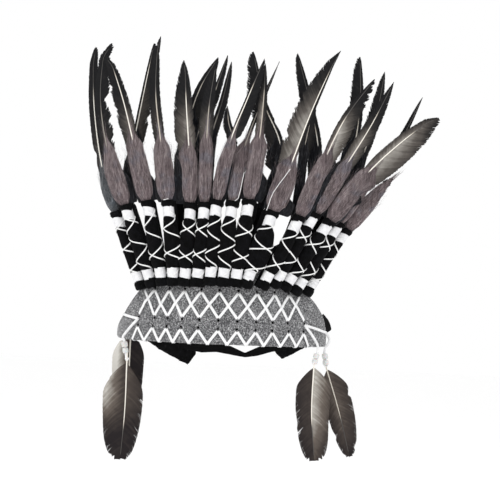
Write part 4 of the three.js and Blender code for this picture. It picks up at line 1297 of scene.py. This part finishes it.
def makeBand():
    upperHoles = [(at, lattice["top"] + hole["rise"]) for at in lattice["upper"]]
    lowerHoles = [(at, lattice["bottom"] - hole["rise"]) for at in lattice["lower"]]
    edgeHoles = [(at, zigzag["top"] + hole["edgeRise"]) for at in zigzag["points"]]
    wall = wallMesh(feltRows, felt["thickness"], "felt", 0.9, 34, 0.5, 1)
    # The holes' walls take the rods' black cloth: painted shade inside the holes.
    wall = cutWith(wall, drillMesh(upperHoles + lowerHoles + edgeHoles))
    wall.polygons.foreach_set("use_smooth", [True] * len(wall.polygons))
    # The black sheet behind the holes: painted shade seen through them.
    holeShade = piece("felt_lining", [wallMesh(holeShadeRows, holeShadeThickness, "tabCloth", 2, 10, 0.2, 2)], "cloth")
    band = piece("felt_band_cloth", [wall, grow("fuzz", wall.copy(), **feltFuzz)], "felt", "felt_band")
    for sheet, rows, under in ((holeShade, holeShadeRows, "felt_band_cloth"), (band, feltRows, "stem_08_roll")):
        flat, area = flatArea(rows)
    for first, name in ((0, "lattice_lace_01"), (1, "lattice_lace_02")):
        legs = []
        for i in range(len(upperHoles) - 1):
            down = (i + first) % 2 == 0
            start = (upperHoles if down else lowerHoles)[i]
            end = (lowerHoles if down else upperHoles)[i + 1]
            inward = -hole["inset"] if down else hole["inset"]
            start, end = (start[0], start[1] + inward), (end[0], end[1] - inward)
            legs.append(latticeLeg(start, end, lace["crossing"] * first, 10 * i + first))
        piece(name + "_legs", [threadMesh(legs, **flatLace)], "lace", name)
    legs = []
    for i, (at, height) in enumerate(edgeHoles):
        ahead = edgeHoles[i + 1][0] if i + 1 < len(edgeHoles) else at + 2 * zigzag["spread"]
        behind = edgeHoles[i - 1][0] if i else at - 2 * zigzag["spread"]
        for foot in ((behind + at) / 2, (at + ahead) / 2):
            low, top = zigzag["foot"] - flatLace["halfThickness"], height - hole["inset"]
            legs.append(lacePath([(at, top, 0.2), (mix(at, foot, 0.05), top - 0.6, 1.6),
                                  (mix(at, foot, 0.12), top - 1.4, faceOffset),
                                  (mix(at, foot, 0.95), 0.9, faceOffset), (foot, low, 0.6)]))
            legs.append(lacePath([(foot, low, 0.6), (foot, low, -0.6), (mix(foot, at, 0.1), 1.4, -faceOffset),
                                  (mix(foot, at, 0.8), height - 4, -faceOffset),
                                  (at, height - 1.6, -faceOffset)]))
    piece("edge_lace_legs", [threadMesh(legs, **flatLace)], "lace", "edge_lace")
    print("felt band is ready")


# The flaps at the band's ends, the right one's folded corner, and the elastic between them.
tabThickness = 2
insideOffset = -(felt["thickness"] / 2 + gap + tabThickness / 2)
elasticThickness = 1.4
elasticOffset = -(tabThickness / 2 + gap + elasticThickness / 2)
tabFuzz = dict(density=0.18, fibreLength=1.8, fibreRadius=0.07, stand=0.4, material="tabCloth")
tabRows = dict(
    left=table(wallColumns, [
        (-165, -14.5, 2, 0), (-160.5, -25, 5, 0), (-141.5, -10.5, 19, 0), (-131, -1.5, 25, 0),
        (-110, 2, 20, -0.5), (-97, 2.5, 12, -1), (-88, 2.5, 11, insideOffset), (-72, 2.5, 15, insideOffset),
    ]),
    right=table(wallColumns, [
        (76, 6, 29, insideOffset), (88, 6, 30, insideOffset), (100, 6, 30, -1), (125.5, -3, 25, 0),
        (143.5, -15.5, 13, 0), (148, -8.5, 8, 0),
    ]),
)
tabCorner = table(wallColumns, [
    (86.5, 12, 31, insideOffset), (92, 13, 26, 1.5), (97, 15.5, 18, 6.5),
])
elasticRows = table(wallColumns, [(at, bottom, top, elasticOffset) for at, bottom, top in (
    (139, -7, 4), (149, -8.5, 2), (159, -13.5, -5), (166.5, -15.5, -11), (175, -13.5, -5), (183, -11.5, -2),
    (192, -12.5, -1), (204, -9, 3))])


def makeTabs():
    for side, seed in (("left", 21), ("right", 22)):
        meshes = [wallMesh(tabRows[side], tabThickness, "tabCloth", 1.2, 18, 0.8, seed)]
        if side == "right":
            meshes.append(wallMesh(tabCorner, tabThickness, "tabCloth", 1.0, 10, 0.4, 23))
        meshes.append(grow("fuzz", meshes[0].copy(), seed=920 + seed, **tabFuzz))
        tab = piece(f"tab_{side}_cloth", meshes, "cloth", "tab_" + side)
        flat, area = flatArea(tabRows[side])
    elastic = wallMesh(elasticRows, elasticThickness, "elastic", 1.0, 12, 0.15, 31)
    piece("back_elastic_band", [elastic], "cloth", "back_elastic")
    print("tabs and elastic are ready")


# The laces that come out at the band's ends, with their beads, and the feathers that hang there.
dropLace = dict(step=1.1, halfWidth=1.3, halfThickness=0.62, corners=10, material="lace")
knotLace = dict(step=0.5, halfWidth=0.6, halfThickness=0.55, corners=8, material="lace")
strandOffset = felt["thickness"] / 2 + gap + 0.7
bareQuill = 0.05  # share of a hanging feather's length above its vane
hangingLines = dict(
    left=[(-90.2, -38.4, -0.6), (-86.6, -39, -19)],
    rightInner=[(90.3, -40.2, -2), (87.2, -41, -16.4)],
    rightOuter=[(97.2, -20.4, -4), (99.2, -21, -18.2)],
)
faceStrands = dict(
    left=[([(-50, 20), (-58, 10.5), (-65.5, 1.5)], [], "left"),
          ([(-50, 20), (-58, 21.5), (-66.6, 23.2)], [], None)],
    right=[([(50, 20), (57, 10.8), (63.5, 1.5)], [], "rightInner"),
           ([(50, 20), (61, 17), (72, 14.2), (78, 13)], [(101.6, -17.5, 6.5)], "rightOuter")],
)
beadRows = table("line down radius height", [
    ("left", 4.2, 3, 5.2), ("left", 10, 2.8, 5),
    ("rightInner", 6.4, 2.9, 4.6), ("rightInner", 11.4, 2.8, 4.4),
    ("rightOuter", 4.8, 3, 5.2), ("rightOuter", 10.6, 2.9, 5),
])
beadBore = 1.25
dropRow = table("x y z lean bend length left right widest roundness facing base", [
    (-85, -22, 2, 1, 4, 84, 17, 13.5, 0.2, 0.4, -8, 0.6),
    (-86.5, -39, -20, -1.5, -6, 91, 22, 16, 0.32, 0.32, -6, 0.12),
    (87.1, -41.1, -17.4, 2.5, 12, 87, 15, 17.5, 0.22, 0.24, 5, 0.1),
    (99.4, -21, -19.3, 17, -6, 86, 12, 15.5, 0.24, 0.4, 12, 0.1),
])
dropTears = [
    dict(splits=[("right", 0.55, 0.1, 1)]),
    dict(splits=[("left", 0.16, 0.1, 1.6), ("left", 0.985, 0.03, 2), ("right", 0.4, 0.08, 1.4)]),
    dict(splits=[("left", 0.72, 0.12, 2.6)], notches=[("left", 0.6, 0.2, 0.07)]),
    dict(splits=[("left", 0.985, 0.03, 1.5)], notches=[("right", 0.33, 0.1, 0.14), ("right", 0.92, 0.08, 0.2),
                                                      ("left", 0.75, 0.1, 0.15)]),
]
dropLooks = table(lookColumns, [
    (-1.15, 0.0, 1.4, 0.9, 0.9, 0.01), (-0.85, 0.35, 0.8, 0.95, 0.75, 0.01), (0.2, 0.8, 1.3, 1.0, 0.7, 0.01),
    (0.45, 0.4, 1.2, 0.8, 0.65, 0.01),
])


def strandMesh(points):
    line = Line(points)
    count = max(4, round(line.length))
    frames = [line.frame(line.length * i / count, 0) for i in range(count + 1)]
    return threadMesh([[(point, outward) for point, _, _, outward in frames]], **dropLace)


# A small tied knot, drawn as a closed loop through itself.
def knotMesh(place, size):
    path = []
    for turn in [*turnsRound(48), 2 * math.pi]:
        spot = Vector((math.sin(turn) + 2 * math.sin(2 * turn), -math.sin(3 * turn),
                       math.cos(turn) - 2 * math.cos(2 * turn)))
        path.append((place + spot * size, spot.normalized()))
    return threadMesh([path], **knotLace)


def beadMesh(row):
    half, radius, widest = row["height"] / 2, row["radius"], 72
    profile = [(beadBore, -half * 0.8), (beadBore + 0.25, -half)]
    for step in range(13):
        turn = math.radians(mix(-widest, widest, step / 12))
        profile.append((radius * (0.72 + 0.28 * math.cos(turn)),
                        half * math.sin(turn) / math.sin(math.radians(widest)) * 0.97))
    profile += [(beadBore + 0.25, half), (beadBore, half * 0.8)]
    start, end = (Vector(place) for place in hangingLines[row["line"]])
    direction = (end - start).normalized()
    turned = direction.to_track_quat("Z", "Y").to_matrix()
    middle = start + direction * row["down"]
    return skin([[middle + turned @ Vector((width * math.cos(turn), width * math.sin(turn), height))
                  for turn in turnsRound(32)] for width, height in profile], "bead", hollow=True)


def dropLine(row):
    knots = [Vector((row["x"], row["y"], row["z"]))]
    for lean in (row["lean"] - row["bend"] / 4, row["lean"] + row["bend"] / 4):
        turn = math.radians(lean)
        knots.append(knots[-1] + Vector((math.sin(turn), 0, -math.cos(turn))) * row["length"] / 2)
    return Line(knots)


def makeDrops():
    for side, strands in faceStrands.items():
        meshes = []
        for places, beyond, lineName in strands:
            points = [ringPoint(at, strandOffset, height) for at, height in places]
            points += [Vector(place) for place in beyond]
            if lineName:
                points += [Vector(place) for place in hangingLines[lineName]]
                meshes.append(knotMesh(points[-1] + Vector((0, 0, 0.6)), 0.55))
            meshes.append(strandMesh(points))
        piece(f"drop_lace_{side}_strands", meshes, "lace", "drop_lace_" + side)
    for i, row in enumerate(beadRows, 1):
        piece(f"bead_{i:02d}_turned", [beadMesh(row)], "bead", f"bead_{i:02d}")
    for i, (row, look, tears) in enumerate(zip(dropRow, dropLooks, dropTears), 1):
        line = dropLine(row)
        feather = featherMesh(row, look, line, line.length * bareQuill, row["facing"], 800 + i, "dropVane",
                              **tears)
        piece(f"drop_feather_{i:02d}_vane", [feather], "drop_feather", f"drop_feather_{i:02d}")
    print("drops are ready")


makeStems()
makePlumes()
makeBand()
makeTabs()
makeDrops()
